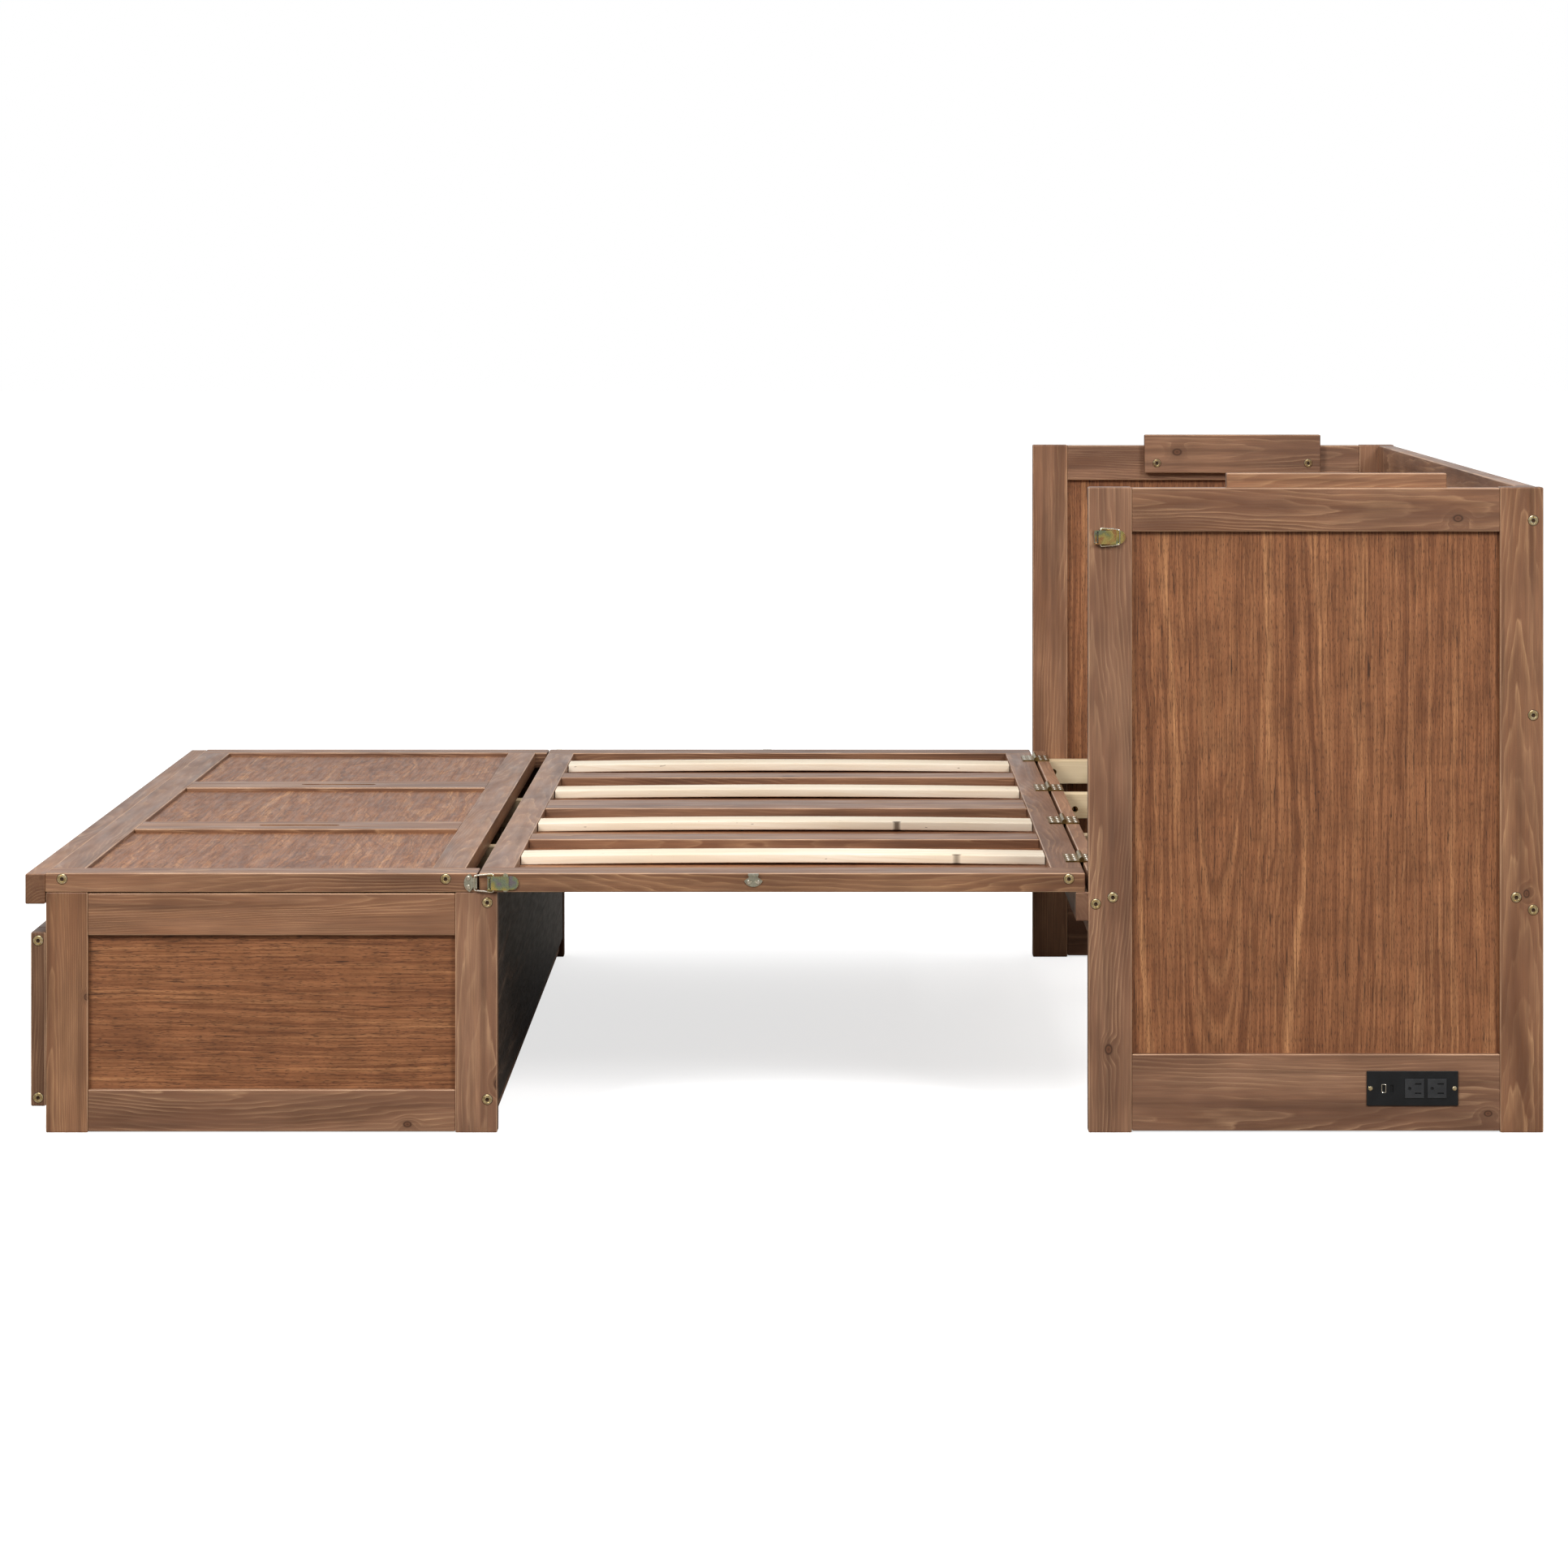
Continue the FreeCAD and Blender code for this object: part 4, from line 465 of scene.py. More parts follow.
def bare_pine(name, low, middle, high, line):
    """Sanded pine without a finish, in three tones and the colour of its growth lines."""
    finish, tree = start_finish(name)
    own, seed, in_mm, knot = on_board(tree, "knot")
    luck_a, luck_b = three_chances(tree, seed)[:2]
    along, across, through = add(tree, "ShaderNodeSeparateXYZ", {0: in_mm}).node.outputs

    # Growth lines about 5 mm apart round a pith 24 mm under the board's middle.
    wander = streaks(tree, own, 520, 120, 1.0, 0.2, 0.8, (-16, 16))
    pith = add(tree, "ShaderNodeMapRange", {0: luck_a, 3: -30.0, 4: 30.0})
    sideways = add(tree, "ShaderNodeMath", {0: across, 1: wander}, operation="ADD")
    sideways = add(tree, "ShaderNodeMath", {0: sideways, 1: pith}, operation="ADD")
    deep = {0: along, 1: 0.03, 2: through}
    deep = add(tree, "ShaderNodeMath", deep, operation="MULTIPLY_ADD")
    deep = add(tree, "ShaderNodeMath", {0: deep, 1: 24.0}, operation="ADD")
    ripple = streaks(tree, own, 90, 12, 2.0, 0.2, 0.8, (-0.4, 0.4))
    years = {0: straight_line(tree, sideways, deep), 1: 0.19, 2: ripple}
    years = add(tree, "ShaderNodeMath", years, operation="MULTIPLY_ADD")
    season = add(tree, "ShaderNodeMath", {0: years}, operation="FRACT")
    year = [(0.0, 0.0), (0.5, 0.08), (0.86, 1.0), (1.0, 0.0)]
    late = add(tree, "ShaderNodeValToRGB", {0: season}, stops=year)
    patchy = streaks(tree, own, 240, 24, 1.0, 0.35, 0.7, (0.04, 0.34))
    late = add(tree, "ShaderNodeMath", {0: late, 1: patchy}, operation="MULTIPLY")

    tones = [(0.0, low), (0.5, middle), (1.0, high)]
    colour = add(tree, "ShaderNodeValToRGB", {0: streaks(tree, own, 260, 30, 3.0)}, stops=tones)
    away = from_knot(tree, along, across, knot, 0.26)
    fleck = add(tree, "ShaderNodeMapRange", {0: away, 1: 0.7, 2: 1.2, 3: 0.85, 4: 0.0})
    scattered = streaks(tree, own, 13, 3.2, 1.0, 0.77, 0.81, (0.0, 0.7))
    fleck = add(tree, "ShaderNodeMath", {0: scattered, 1: fleck}, operation="MAXIMUM")
    fine = streaks(tree, own, 40, 1.0, 3.0, 0.3, 0.7, (0.0, 0.3))
    for marks, tone in ((late, line), (fine, "#EAD6B8"), (fleck, "#4B3A28")):
        colour = add(tree, "ShaderNodeMix", {0: marks, 6: colour, 7: linear(tone)}, data_type="RGBA")
    lightness = add(tree, "ShaderNodeMapRange", {0: luck_b, 3: 0.96, 4: 1.04})
    colour = add(tree, "ShaderNodeHueSaturation", {"Value": lightness, "Color": colour})

    feel = add(tree, "ShaderNodeBump", {"Strength": 0.3, "Distance": 0.0003, "Height": late})
    rough = streaks(tree, own, 60, 10, 2.0, 0.3, 0.7, (0.55, 0.7))
    bare = {"Base Color": colour, "Roughness": rough, "IOR": 1.5, "Specular IOR Level": 0.25, "Normal": feel}
    sanded = add(tree, "ShaderNodeBsdfPrincipled", bare)
    add(tree, "ShaderNodeOutputMaterial", {"Surface": sanded})
    return finish


pale_pine = bare_pine("pale_sanded_pine", "#E3D3BB", "#EBDDC8", "#F2E7D5", "#D3B78E")
straw_pine = bare_pine("straw_sanded_pine", "#CDB38A", "#D8C098", "#E2CDA8", "#B88F5B")
boards("joists_head", "cabinet", "head_joists", straw_pine)


def workshop(name, **sizes):
    """Starts a geometry tree that grows a piece on points, with a named input for each size."""
    tree = bpy.data.node_groups.new(name, "GeometryNodeTree")
    sockets = tree.interface
    sockets.new_socket("Points", in_out="INPUT", socket_type="NodeSocketGeometry")
    sockets.new_socket("Finish", in_out="INPUT", socket_type="NodeSocketMaterial")
    for label, size in sizes.items():
        asked = sockets.new_socket(label, in_out="INPUT", socket_type="NodeSocketFloat")
        asked.default_value = size
    sockets.new_socket("Geometry", in_out="OUTPUT", socket_type="NodeSocketGeometry")
    asked = add(tree, "NodeGroupInput").node.outputs
    return tree, {socket.name: socket for socket in asked}


def set_out(tree, asked, shapes, turned="Z"):
    """Ends a tree: each shape stands on every point, turned its way, and takes the finish."""
    aim = add(tree, "GeometryNodeInputNamedAttribute", {"Name": "aim"}, data_type="FLOAT_VECTOR")
    way = add(tree, "FunctionNodeAlignRotationToVector", {"Vector": aim}, axis=turned)
    placed = []
    for shape, scale in shapes:
        stood = {"Points": asked["Points"], "Instance": shape, "Rotation": way, "Scale": scale}
        placed.append(add(tree, "GeometryNodeInstanceOnPoints", stood))
    joined = add(tree, "GeometryNodeJoinGeometry", {0: placed})
    whole = add(tree, "GeometryNodeRealizeInstances", {0: joined})
    painted = add(tree, "GeometryNodeSetMaterial", {"Geometry": whole, "Material": asked["Finish"]})
    add(tree, "NodeGroupOutput", {0: painted})


def grow(name, body, tree, finish, slot, points, sizes=None, **told):
    """Runs a tree on points in metres and keeps what it makes as one plain mesh."""
    mesh = bpy.data.meshes.new(name)
    mesh.from_pydata(points, [], [])
    tell(mesh, told)
    piece = bpy.data.objects.new(name, mesh)
    studio.collection.objects.link(piece)
    grower = piece.modifiers.new(tree.name, "NODES")
    grower.node_group = tree
    for socket in tree.interface.items_tree:
        if socket.name == "Finish":
            grower[socket.identifier] = finish
        elif socket.name in (sizes or {}):
            grower[socket.identifier] = sizes[socket.name]
    as_plain_mesh(piece)
    piece.data.shade_smooth()
    piece.data.set_sharp_from_angle(angle=sharp_corner)
    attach(piece, body)
    return piece


# A slat is a planed bar with eased edges that bows up a little at its middle.
slat_tree, asked = workshop(
    "pine_slat", Length=0.72, Width=0.062, Thickness=0.013, Ease=0.002, Bow=0.003
)
half_long = add(slat_tree, "ShaderNodeMath", {0: asked["Length"], 1: 0.5}, operation="MULTIPLY")
back_half = add(slat_tree, "ShaderNodeMath", {0: half_long, 1: -1.0}, operation="MULTIPLY")
ends = [add(slat_tree, "ShaderNodeCombineXYZ", {0: half}) for half in (back_half, half_long)]
spine = add(slat_tree, "GeometryNodeCurvePrimitiveLine", {"Start": ends[0], "End": ends[1]})
spine = add(slat_tree, "GeometryNodeResampleCurve", {"Curve": spine, "Count": 25})
section = {"Width": asked["Width"], "Height": asked["Thickness"]}
section = add(slat_tree, "GeometryNodeCurvePrimitiveQuadrilateral", section)
eased = {"Curve": section, "Radius": asked["Ease"], "Count": 4, "Limit Radius": True}
section = add(slat_tree, "GeometryNodeFilletCurve", eased, mode="POLY")
bar = {"Curve": spine, "Profile Curve": section, "Fill Caps": True}
bar = add(slat_tree, "GeometryNodeCurveToMesh", bar)
here = add(slat_tree, "GeometryNodeInputPosition")
whole = {0: asked["Length"], 1: asked["Width"], 2: asked["Thickness"]}
whole = add(slat_tree, "ShaderNodeCombineXYZ", whole)
halves = add(slat_tree, "ShaderNodeVectorMath", {0: whole, "Scale": 0.5}, operation="SCALE")
for label, value in (("board", here), ("half", halves)):
    bar = add(
        slat_tree, "GeometryNodeStoreNamedAttribute", {"Geometry": bar, "Name": label, "Value": value},
        data_type="FLOAT_VECTOR", domain="POINT",
    )
part_way = add(slat_tree, "ShaderNodeSeparateXYZ", {0: here})
part_way = add(slat_tree, "ShaderNodeMath", {0: part_way, 1: half_long}, operation="DIVIDE")
drop = add(slat_tree, "ShaderNodeMath", {0: part_way, 1: part_way}, operation="MULTIPLY")
lift = add(slat_tree, "ShaderNodeMath", {0: 1.0, 1: drop}, operation="SUBTRACT")
lift = add(slat_tree, "ShaderNodeMath", {0: asked["Bow"], 1: lift}, operation="MULTIPLY")
lift = add(slat_tree, "ShaderNodeCombineXYZ", {2: lift})
bar = add(slat_tree, "GeometryNodeSetPosition", {"Geometry": bar, "Offset": lift})
set_out(slat_tree, asked, [(bar, (1, 1, 1))], turned="X")


def slats(name, body, node, bow, marks=()):
    """Grows one slat on each of a CAD node's slats; marks are (x, y, radius) in mm."""
    luck = random.Random(name)
    points, aim, seed, knot = [], [], [], []
    end_gap = 0.0025  # each end reaches this much further, to meet its rail
    on_slat = 0.033  # a mark this near a slat's middle line is on it
    for corners, faces in solids(node):
        low, high = corners.min(axis=0), corners.max(axis=0)
        size, middle = high - low, (low + high) / 2
        along = (1, 0, 0) if size[0] > size[1] else (0, 1, 0)
        points.append(middle)
        aim.append(along)
        seed.append(luck.uniform(0.0, 60.0))
        knot.append(no_knot)
        for x, y, radius in marks:
            if abs(y / 1000 - middle[1]) < on_slat and along[0]:
                knot[-1] = (x / 1000 - middle[0], y / 1000 - middle[1], radius / 1000)
    thin, wide, long = np.sort(size)
    sizes = {"Length": long + 2 * end_gap, "Width": wide, "Thickness": thin, "Bow": bow}
    told = {"aim": aim, "seed": seed, "knot": knot}
    piece = grow(name, body, slat_tree, pale_pine, "pale_pine", points, sizes, **told)
    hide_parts(node)


slats("slats_head", "cabinet", "head_slats", 0.001)

# ---------------------------------------------------------- the hinged platform
# Two long side rails, two end rails and three cross rails lie flat in one
# frame. A veneered panel fills each bay from below, and a pine slat lies on it.

for node, shade in (("middle_side_rails", 0.78), ("middle_end_rails", 1.0), ("middle_cross_rails", 1.0)):
    boards(
        "frame_" + node, "middle_platform", node, stained_pine, chance=0.25, shade=shade
    )
boards("veneer_middle_panels", "middle_platform", "middle_panels", walnut_veneer, grain=0)
flecks = [(162, -241, 1.6), (239, -616, 1.8)]
slats("slats_middle", "middle_platform", "middle_slats", 0.003, marks=flecks)

# ----------------------------------------------------------------- the foot box
# A low box of two panelled sides joined by cross rails, with a plywood
# back towards the bed and runners inside for the wide drawer.

for node in ("box_stiles", "box_side_rails", "box_cross_rails"):
    boards(
        "frame_" + node, "foot_box", node, stained_pine, chance=0.25,
        marks=[(-511, -800, 11.5, 4), (-388, -800, 66, 5), (-946, -800, 184, 3)],
    )
boards("veneer_box_side_panels", "foot_box", "box_side_panels", walnut_veneer, grain=0)
for node in ("box_support_rails", "drawer_runners"):
    boards("bare_" + node, "foot_box", node, straw_pine)
# The back's veneer is drawn dark brown: painted shade, for the deep shade under the platform.
shade_darkened_ply = veneer("plywood_with_painted_shade", "#6E5A4C", "#463A32", "#2B241F", "#14110F", figure=0.7)
boards("veneer_box_back_panel", "foot_box", "box_back_panel", shade_darkened_ply, grain=1)

# ---------------------------------------------------------------------- the lid
# A loose framed top over the box: side rails, end stiles and two mid stiles
# with a finger slot each, three veneered panels, and a strip that hangs over
# the foot end.

for node in ("lid_side_rails", "lid_end_stiles", "lid_mid_stiles", "lid_foot_strip"):
    boards("frame_" + node, "lid", node, stained_pine, chance=0.25)
flat_cut = veneer("flat_cut_walnut_veneer", "#BC875B", "#915F3D", "#6A4128", "#3B2619", figure=1.1)
boards("veneer_lid_panels", "lid", "lid_panels", flat_cut, grain=1)

# ------------------------------------------------------------------- the drawer
# One wide drawer that opens to the foot: a framed front with a veneered
# panel laid over the box's end, pine sides and back, and a thin floor.

# The drawer front's frame is drawn darker, at 0.6 of its lightness.
boards(
    "frame_drawer_front", "drawer", "drawer_front_frame", stained_pine,
    chance=0.25, shade=0.6,
)
for node in ("drawer_sides", "drawer_back", "drawer_floor"):
    boards("bare_" + node, "drawer", node, straw_pine)
boards(
    "veneer_drawer_front_panel", "drawer", "drawer_front_panel", walnut_veneer, grain=1
)

# ------------------------------------------------- hinges, latches and strikes
# Brass-plated steel butt hinges, and draw latches of zinc-plated steel with a
# bail of bright wire that hooks over a strike. Each is held by small screws.


def metal(name, colours, rough, scale):
    """A plated steel finish whose colour drifts between a few tones."""
    finish, tree = start_finish(name)
    place = add(tree, "ShaderNodeTexCoord").node.outputs["Object"]
    place = add(tree, "ShaderNodeVectorMath", {0: place, 1: (scale, scale, scale)}, operation="MULTIPLY")
    drift = add(tree, "ShaderNodeTexNoise", {"Vector": place, "Scale": 1.0, "Detail": 2.0})
    tones = add(tree, "ShaderNodeValToRGB", {0: drift}, stops=colours)
    grit = add(tree, "ShaderNodeTexNoise", {"Vector": place, "Scale": 9.0, "Detail": 3.0})
    gloss = {0: grit, 1: 0.3, 2: 0.7, 3: rough * 0.8, 4: rough * 1.25}
    gloss = add(tree, "ShaderNodeMapRange", gloss)
    feel = add(tree, "ShaderNodeBump", {"Strength": 0.2, "Distance": 0.0001, "Height": grit})
    plate = {"Base Color": tones, "Metallic": 1.0, "Roughness": gloss, "Normal": feel}
    plated = add(tree, "ShaderNodeBsdfPrincipled", plate)
    add(tree, "ShaderNodeOutputMaterial", {"Surface": plated})
    return finish


# Yellow zinc has the faint rainbow of its passivated film: mauve, green and gold.
rainbow = [(0.30, "#A69DA8"), (0.40, "#A3B39A"), (0.50, "#C9C27E"), (0.60, "#EDD684"), (0.70, "#DBA66E")]
yellow_zinc = metal("yellow_zinc_plate", rainbow, 0.24, 55)
clear_zinc = metal("clear_zinc_plate", [(0.3, "#B4B3A2"), (0.7, "#DAD8C6")], 0.28, 160)
bright_wire = metal("bright_nickel_wire", [(0.3, "#DDD6C6"), (0.7, "#F6F0E2")], 0.16, 200)
brown_brass = [(0.3, "#6A5B38"), (0.5, "#88764A"), (0.7, "#A8945F")]
aged_brass = metal("aged_brass_plate", brown_brass, 0.34, 90)

latches = ("near_platform", "far_platform", "near_cabinet", "far_cabinet")
fittings = {
    aged_brass: ["hinge_fixed_leaves", "hinge_moving_leaves"],
    clear_zinc: ["cabinet_latch_bases", "platform_latch_bases", "middle_strikes", "lid_strikes"],
    yellow_zinc: [latch + "_lever" for latch in latches],
    bright_wire: [latch + "_bail" for latch in latches],
}
for finish, nodes in fittings.items():
    for node in nodes:
        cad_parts[node].data.materials.clear()
        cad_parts[node].data.materials.append(finish)

# A small screw has a low dome and a square drive.
screw_tree, asked = workshop("small_screw", Head=0.0027, Dome=0.0007, Drive=0.0013)
crown = add(screw_tree, "ShaderNodeMath", {0: asked["Head"], 1: 0.72}, operation="MULTIPLY")
blank = {"Vertices": 16, "Side Segments": 1, "Radius Top": crown}
blank |= {"Radius Bottom": asked["Head"], "Depth": asked["Dome"]}
blank = add(screw_tree, "GeometryNodeMeshCone", blank)
key = {"Vertices": 4, "Radius": asked["Drive"], "Depth": asked["Dome"]}
key = add(screw_tree, "GeometryNodeMeshCylinder", key)
top = add(screw_tree, "ShaderNodeCombineXYZ", {2: asked["Dome"]})
key = add(screw_tree, "GeometryNodeTransform", {"Geometry": key, "Translation": top})
head = {"Mesh 1": blank, "Mesh 2": key}
head = add(screw_tree, "GeometryNodeMeshBoolean", head, operation="DIFFERENCE")
set_out(screw_tree, asked, [(head, (1, 1, 1))])

# Each leaf has two columns of four screws.
hinge_middles = (0.648, 0.213)
steps = (-0.0285, -0.0095, 0.0095, 0.0285)
leaf_top = 0.3539
for body, columns in (("cabinet", (0.4185, 0.4275)), ("middle_platform", (0.3925, 0.4015))):
    rows = [side * hinge + step for side in (-1, 1) for hinge in hinge_middles for step in steps]
    points = [(x, y, leaf_top) for x in columns for y in rows]
    ways = [(0, 0, 1)] * len(points)
    grow(body + "_hinge_screws", body, screw_tree, bright_wire, "brass", points, aim=ways)

# Each strike has two larger ones: one above the other on the lid, and side by
# side on the platform.
strike_face = 0.8014
large = {"Head": 0.0034, "Dome": 0.0011, "Drive": 0.0017}
for body, holes in (
    ("lid", ((-0.4283, 0.3331), (-0.4283, 0.3449))),
    ("middle_platform", ((-0.0479, 0.3396), (-0.0361, 0.3396))),
):
    points = [(x, side * strike_face, z) for side in (-1, 1) for x, z in holes]
    ways = [(0, side, 0) for side in (-1, 1) for hole in holes]
    grow(body + "_strike_screws", body, screw_tree, bright_wire, "yellow_zinc", points, large, aim=ways)

# ---------------------------------------------------------------------- the bolts
# Flat-headed furniture bolts of brass-plated steel hold the frames together,
# each screwed into a round nut that is let into the joist or rail.

pale_brass = [(0.3, "#C0A877"), (0.5, "#DCC99C"), (0.7, "#F3E7C8")]
antique_brass = metal("antique_brass_plate", pale_brass, 0.24, 240)

# A head is chamfered at its rim, with a ring turned in it round the hex socket.
# Its shank goes on into the wood.
bolt_tree, asked = workshop(
    "hex_socket_bolt",
    Head=0.0068, Height=0.003, Chamfer=0.0007, Ring=0.0046, Socket=0.0029, Depth=0.0022, Shank=0.003,
)
top = add(bolt_tree, "ShaderNodeCombineXYZ", {2: asked["Height"]})
crown = add(bolt_tree, "ShaderNodeMath", {0: asked["Head"], 1: asked["Chamfer"]}, operation="SUBTRACT")
straight = add(bolt_tree, "ShaderNodeMath", {0: asked["Height"], 1: asked["Chamfer"]}, operation="SUBTRACT")
collar = {"Vertices": 40, "Radius Top": asked["Head"], "Radius Bottom": asked["Head"], "Depth": straight}
collar = add(bolt_tree, "GeometryNodeMeshCone", collar)
bevel = {"Vertices": 40, "Radius Top": crown, "Radius Bottom": asked["Head"], "Depth": asked["Chamfer"]}
bevel = add(bolt_tree, "GeometryNodeMeshCone", bevel)
rim = add(bolt_tree, "ShaderNodeCombineXYZ", {2: straight})
bevel = add(bolt_tree, "GeometryNodeTransform", {"Geometry": bevel, "Translation": rim})
blank = add(bolt_tree, "GeometryNodeMeshBoolean", {"Mesh 2": [collar, bevel]}, operation="UNION")
circle = {"Resolution": 36, "Radius": asked["Ring"]}
circle = add(bolt_tree, "GeometryNodeCurvePrimitiveCircle", circle)
cutter = add(bolt_tree, "GeometryNodeCurvePrimitiveCircle", {"Resolution": 6, "Radius": 0.0007})
ring = add(bolt_tree, "GeometryNodeCurveToMesh", {"Curve": circle, "Profile Curve": cutter})
ring = add(bolt_tree, "GeometryNodeTransform", {"Geometry": ring, "Translation": top})
twice_deep = add(bolt_tree, "ShaderNodeMath", {0: asked["Depth"], 1: 2.0}, operation="MULTIPLY")
key = {"Vertices": 6, "Radius": asked["Socket"], "Depth": twice_deep}
key = add(bolt_tree, "GeometryNodeMeshCylinder", key)
key = add(bolt_tree, "GeometryNodeTransform", {"Geometry": key, "Translation": top})
head = {"Mesh 1": blank, "Mesh 2": [ring, key]}
head = add(bolt_tree, "GeometryNodeMeshBoolean", head, operation="DIFFERENCE")
shank = {"Vertices": 16, "Radius": asked["Shank"], "Depth": 1.0}
shank = add(bolt_tree, "GeometryNodeMeshCylinder", shank)
shank = add(bolt_tree, "GeometryNodeTransform", {"Geometry": shank, "Translation": (0, 0, -0.5)})
reach = add(bolt_tree, "GeometryNodeInputNamedAttribute", {"Name": "reach"}, data_type="FLOAT")
stretch = add(bolt_tree, "ShaderNodeCombineXYZ", {0: 1.0, 1: 1.0, 2: reach})
set_out(bolt_tree, asked, [(head, (1, 1, 1)), (shank, stretch)])

# The drilled mouth round each head is a thin dark ring, and a dark disc lies on
# the floor of the socket: painted shade, for the shadow in the gap round the head and in the socket.
painted_hole_shade, tree = start_finish("hole_and_socket_painted_shade")
place = add(tree, "ShaderNodeTexCoord").node.outputs["Object"]
speck = add(tree, "ShaderNodeTexNoise", {"Vector": place, "Scale": 900.0, "Detail": 2.0})
shade_tones = add(tree, "ShaderNodeValToRGB", {0: speck}, stops=[(0.3, "#2C1C12"), (0.7, "#452E20")])
hole_shade = {"Base Color": shade_tones, "Roughness": 0.7, "Specular IOR Level": 0.2}
hole_shade = add(tree, "ShaderNodeBsdfPrincipled", hole_shade)
add(tree, "ShaderNodeOutputMaterial", {"Surface": hole_shade})

mouth_tree, asked = workshop("drilled_mouth", Mouth=0.0071, Lip=0.0004, Socket=0.0028, Floor=-0.0011)
circle = {"Resolution": 32, "Radius": asked["Mouth"]}
circle = add(mouth_tree, "GeometryNodeCurvePrimitiveCircle", circle)
lip = add(mouth_tree, "GeometryNodeCurvePrimitiveCircle", {"Resolution": 6, "Radius": asked["Lip"]})
lip = add(mouth_tree, "GeometryNodeCurveToMesh", {"Curve": circle, "Profile Curve": lip})
lip = add(mouth_tree, "GeometryNodeTransform", {"Geometry": lip, "Scale": (1, 1, 0.3)})
# A dark disc on the socket's floor: painted shade.
socket_shade = {"Vertices": 6, "Radius": asked["Socket"], "Depth": 0.0004}
socket_shade = add(mouth_tree, "GeometryNodeMeshCylinder", socket_shade)
floor = add(mouth_tree, "ShaderNodeCombineXYZ", {2: asked["Floor"]})
socket_shade = add(mouth_tree, "GeometryNodeTransform", {"Geometry": socket_shade, "Translation": floor})
set_out(mouth_tree, asked, [(lip, (1, 1, 1)), (socket_shade, (1, 1, 1))])

# A bolt's head stands 3 mm high and its mouth lies 2 mm up it. A round nut, which
# has no head and is under 20 mm long, lies across the bed and is flush. Each kind
# has its own sizes, how far up it the mouth lies, and the mouth's sizes.
nut_length, widest_nut = 0.02, 0.006
kinds = {
    "bolts": ({"Height": 0.003}, 0.002, {}),
    "nuts": (
        {"Head": 0.0048, "Height": 0.006, "Ring": 0.0036, "Socket": 0.0022, "Shank": 0.0046}, 0.006,
        {"Mouth": 0.0053, "Socket": 0.0021, "Floor": -0.0021},
    ),
}
for body, node in (
    ("cabinet", "cabinet_fasteners"), ("middle_platform", "middle_bolts"), ("foot_box", "box_bolts"),
    ("lid", "lid_bolts"), ("drawer", "drawer_bolts"),
):
    found = {"bolts": [], "nuts": []}
    for corners, faces in solids(node):
        low, high = corners.min(axis=0), corners.max(axis=0)
        middle, axis = (low + high) / 2, int(np.argmax(high - low))
        if (high - low).max() < nut_length:
            axis = 1
        out = np.abs(np.delete(corners - middle, axis, 1)).max(axis=1)
        aim = np.zeros(3)
        if out.max() > widest_nut:
            kind = "bolts"
            aim[axis] = np.sign((corners[out > widest_nut] - middle)[:, axis].mean())
        else:
            kind = "nuts"
            aim[axis] = -np.sign(middle[1])
        height = kinds[kind][0]["Height"]
        top = np.where(aim > 0, high, np.where(aim < 0, low, middle))
        found[kind].append((top - aim * height, aim, (high - low)[axis] - height))
    for kind, (sizes, mouth_height, mouth_sizes) in kinds.items():
        if found[kind]:
            name = "%s_%s" % (body, kind)
            points, aim, reach = zip(*found[kind])
            told = {"aim": aim, "reach": reach}
            piece = grow(name, body, bolt_tree, antique_brass, "brass", points, sizes, **told)
            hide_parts(node)
            mouths = [point + way * mouth_height for point, way in zip(points, aim)]
            name += "_mouths"
            grow(name, body, mouth_tree, painted_hole_shade, "stained_pine", mouths, mouth_sizes, aim=aim)

# ------------------------------------------------------------------ the power unit
# A plate of black moulded ABS, screwed at each end to the near bottom rail, with
# two outlets of a greyer black and two charging ports.


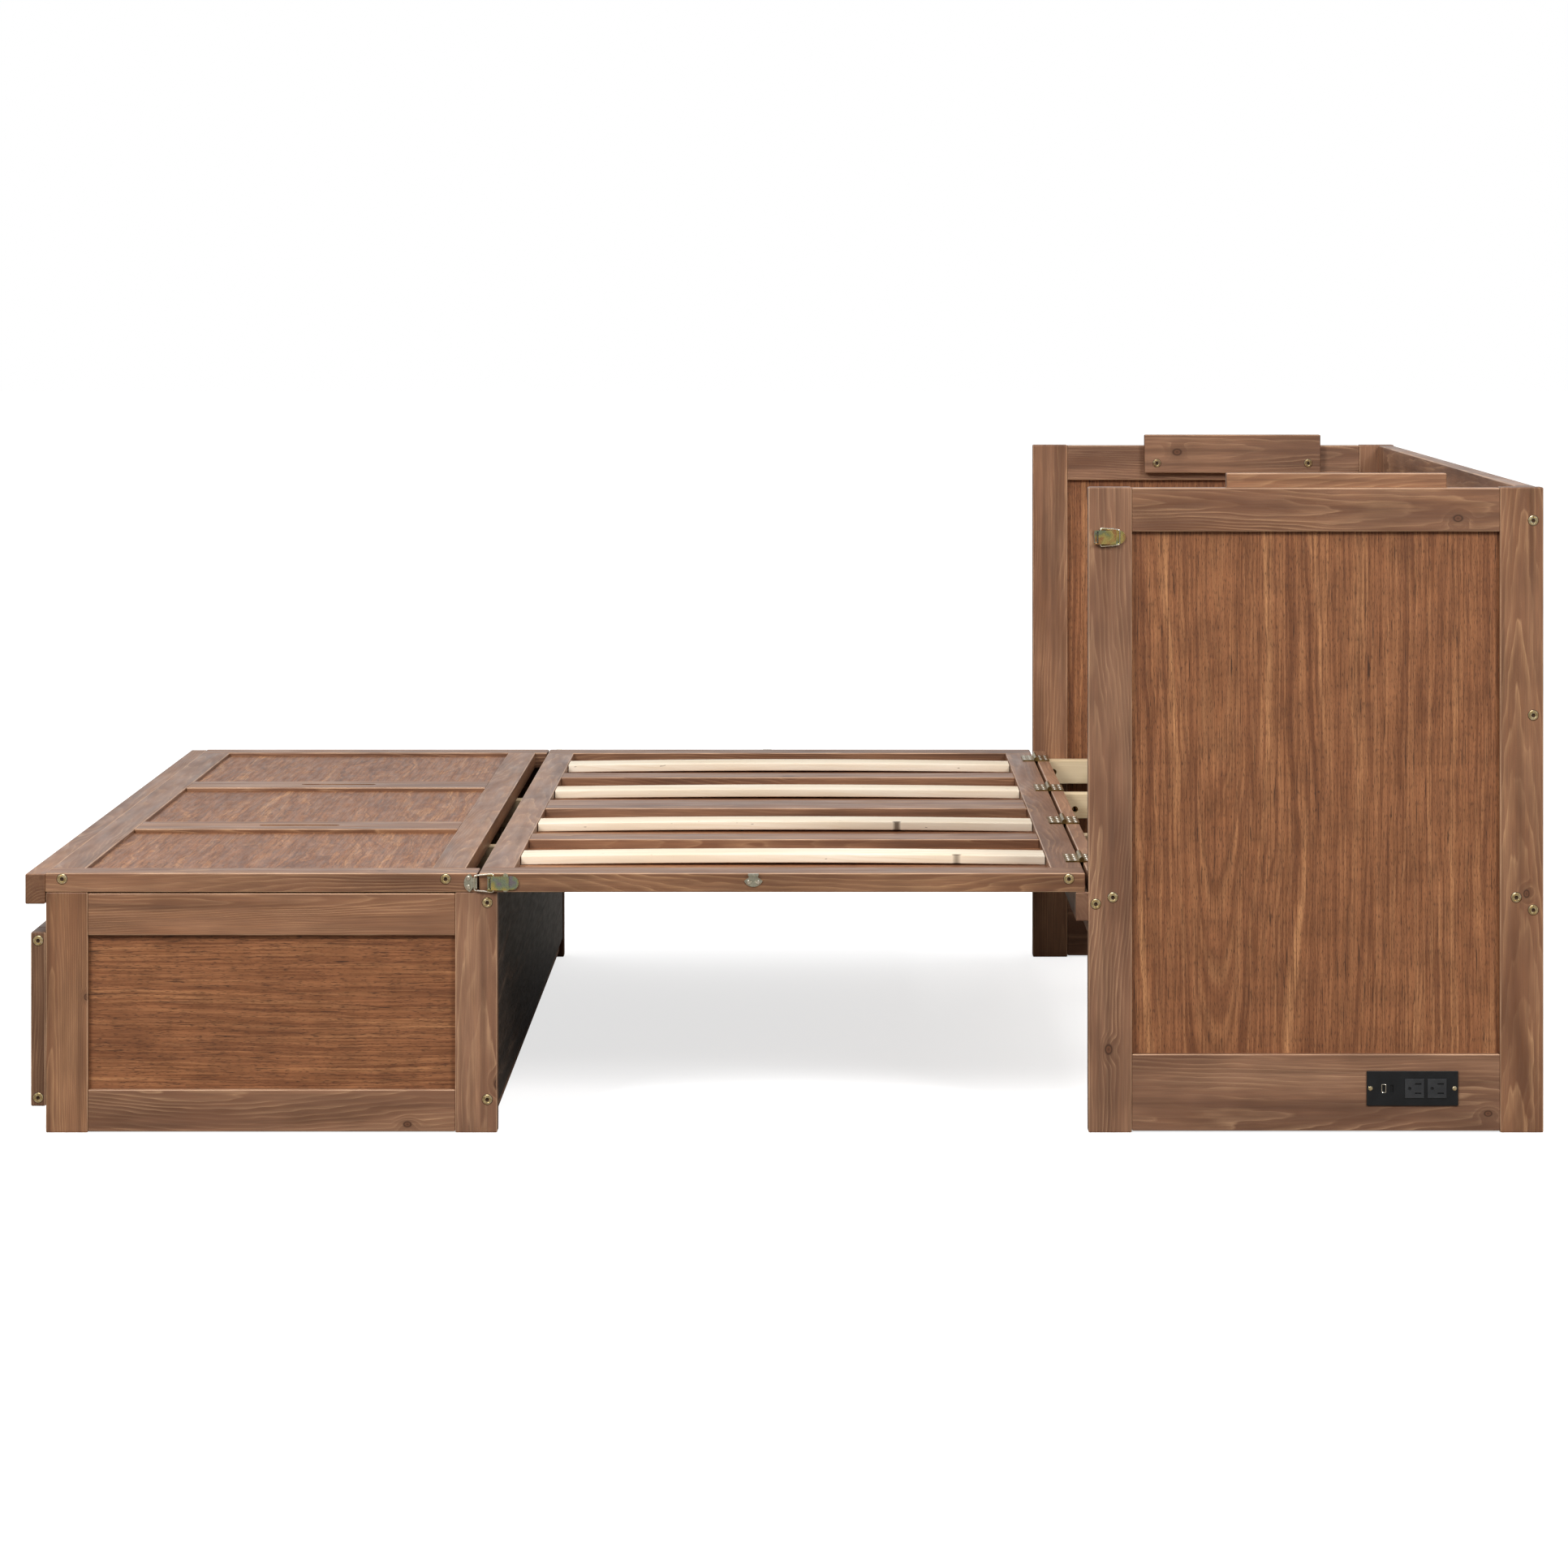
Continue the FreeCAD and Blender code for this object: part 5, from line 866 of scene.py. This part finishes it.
def moulded(name, colour, high, rough):
    """Moulded ABS with a fine spark-eroded grain."""
    finish, tree = start_finish(name)
    place = add(tree, "ShaderNodeTexCoord").node.outputs["Object"]
    grain = add(tree, "ShaderNodeTexNoise", {"Vector": place, "Scale": 1400.0, "Detail": 3.0})
    cloud = add(tree, "ShaderNodeTexNoise", {"Vector": place, "Scale": 60.0, "Detail": 2.0})
    colour = add(tree, "ShaderNodeValToRGB", {0: cloud}, stops=[(0.3, colour), (0.7, high)])
    gloss = {0: grain, 1: 0.3, 2: 0.7, 3: rough * 0.85, 4: rough * 1.15}
    gloss = add(tree, "ShaderNodeMapRange", gloss)
    feel = add(tree, "ShaderNodeBump", {"Strength": 0.25, "Distance": 0.0001, "Height": grain})
    skin = {"Base Color": colour, "Roughness": gloss, "IOR": 1.54, "Specular IOR Level": 0.3, "Normal": feel}
    plastic = add(tree, "ShaderNodeBsdfPrincipled", skin)
    add(tree, "ShaderNodeOutputMaterial", {"Surface": plastic})
    return finish


black_abs = moulded("black_moulded_abs", "#101113", "#16181A", 0.42)
dark_abs = moulded("dark_moulded_abs", "#2C2D2F", "#353638", 0.36)
for node, finish in (
    ("power_faceplate", black_abs), ("power_outlets", dark_abs), ("usb_ports", black_abs),
    ("power_housing", black_abs),
):
    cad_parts[node].data.materials.clear()
    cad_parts[node].data.materials.append(finish)

points = [(0.79425, -0.8024, 0.0605), (0.90825, -0.8024, 0.0605)]
sizes, ways = {"Head": 0.0031}, [(0, -1, 0)] * 2
grow("plate_screws", "cabinet", screw_tree, antique_brass, "brass", points, sizes, aim=ways)

# The left port is lined with a frame of folded bright steel; the right one is all black.
lining_tree, asked = workshop("port_lining", Wide=0.0054, High=0.0109, Round=0.0008, Wall=0.0006)
around = {"Width": asked["Wide"], "Height": asked["High"]}
around = add(lining_tree, "GeometryNodeCurvePrimitiveQuadrilateral", around)
rounded = {"Curve": around, "Radius": asked["Round"], "Count": 4, "Limit Radius": True}
around = add(lining_tree, "GeometryNodeFilletCurve", rounded, mode="POLY")
wall = {"Resolution": 8, "Radius": asked["Wall"]}
wall = add(lining_tree, "GeometryNodeCurvePrimitiveCircle", wall)
lining = add(lining_tree, "GeometryNodeCurveToMesh", {"Curve": around, "Profile Curve": wall})
set_out(lining_tree, asked, [(lining, (1, 1, 1))])
low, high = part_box("usb_ports")
half_port = 0.0035
points = [(low[0] + half_port, low[1], (low[2] + high[2]) / 2)]
grow("port_lining", "cabinet", lining_tree, bright_wire, "steel", points, aim=[(0, -1, 0)])
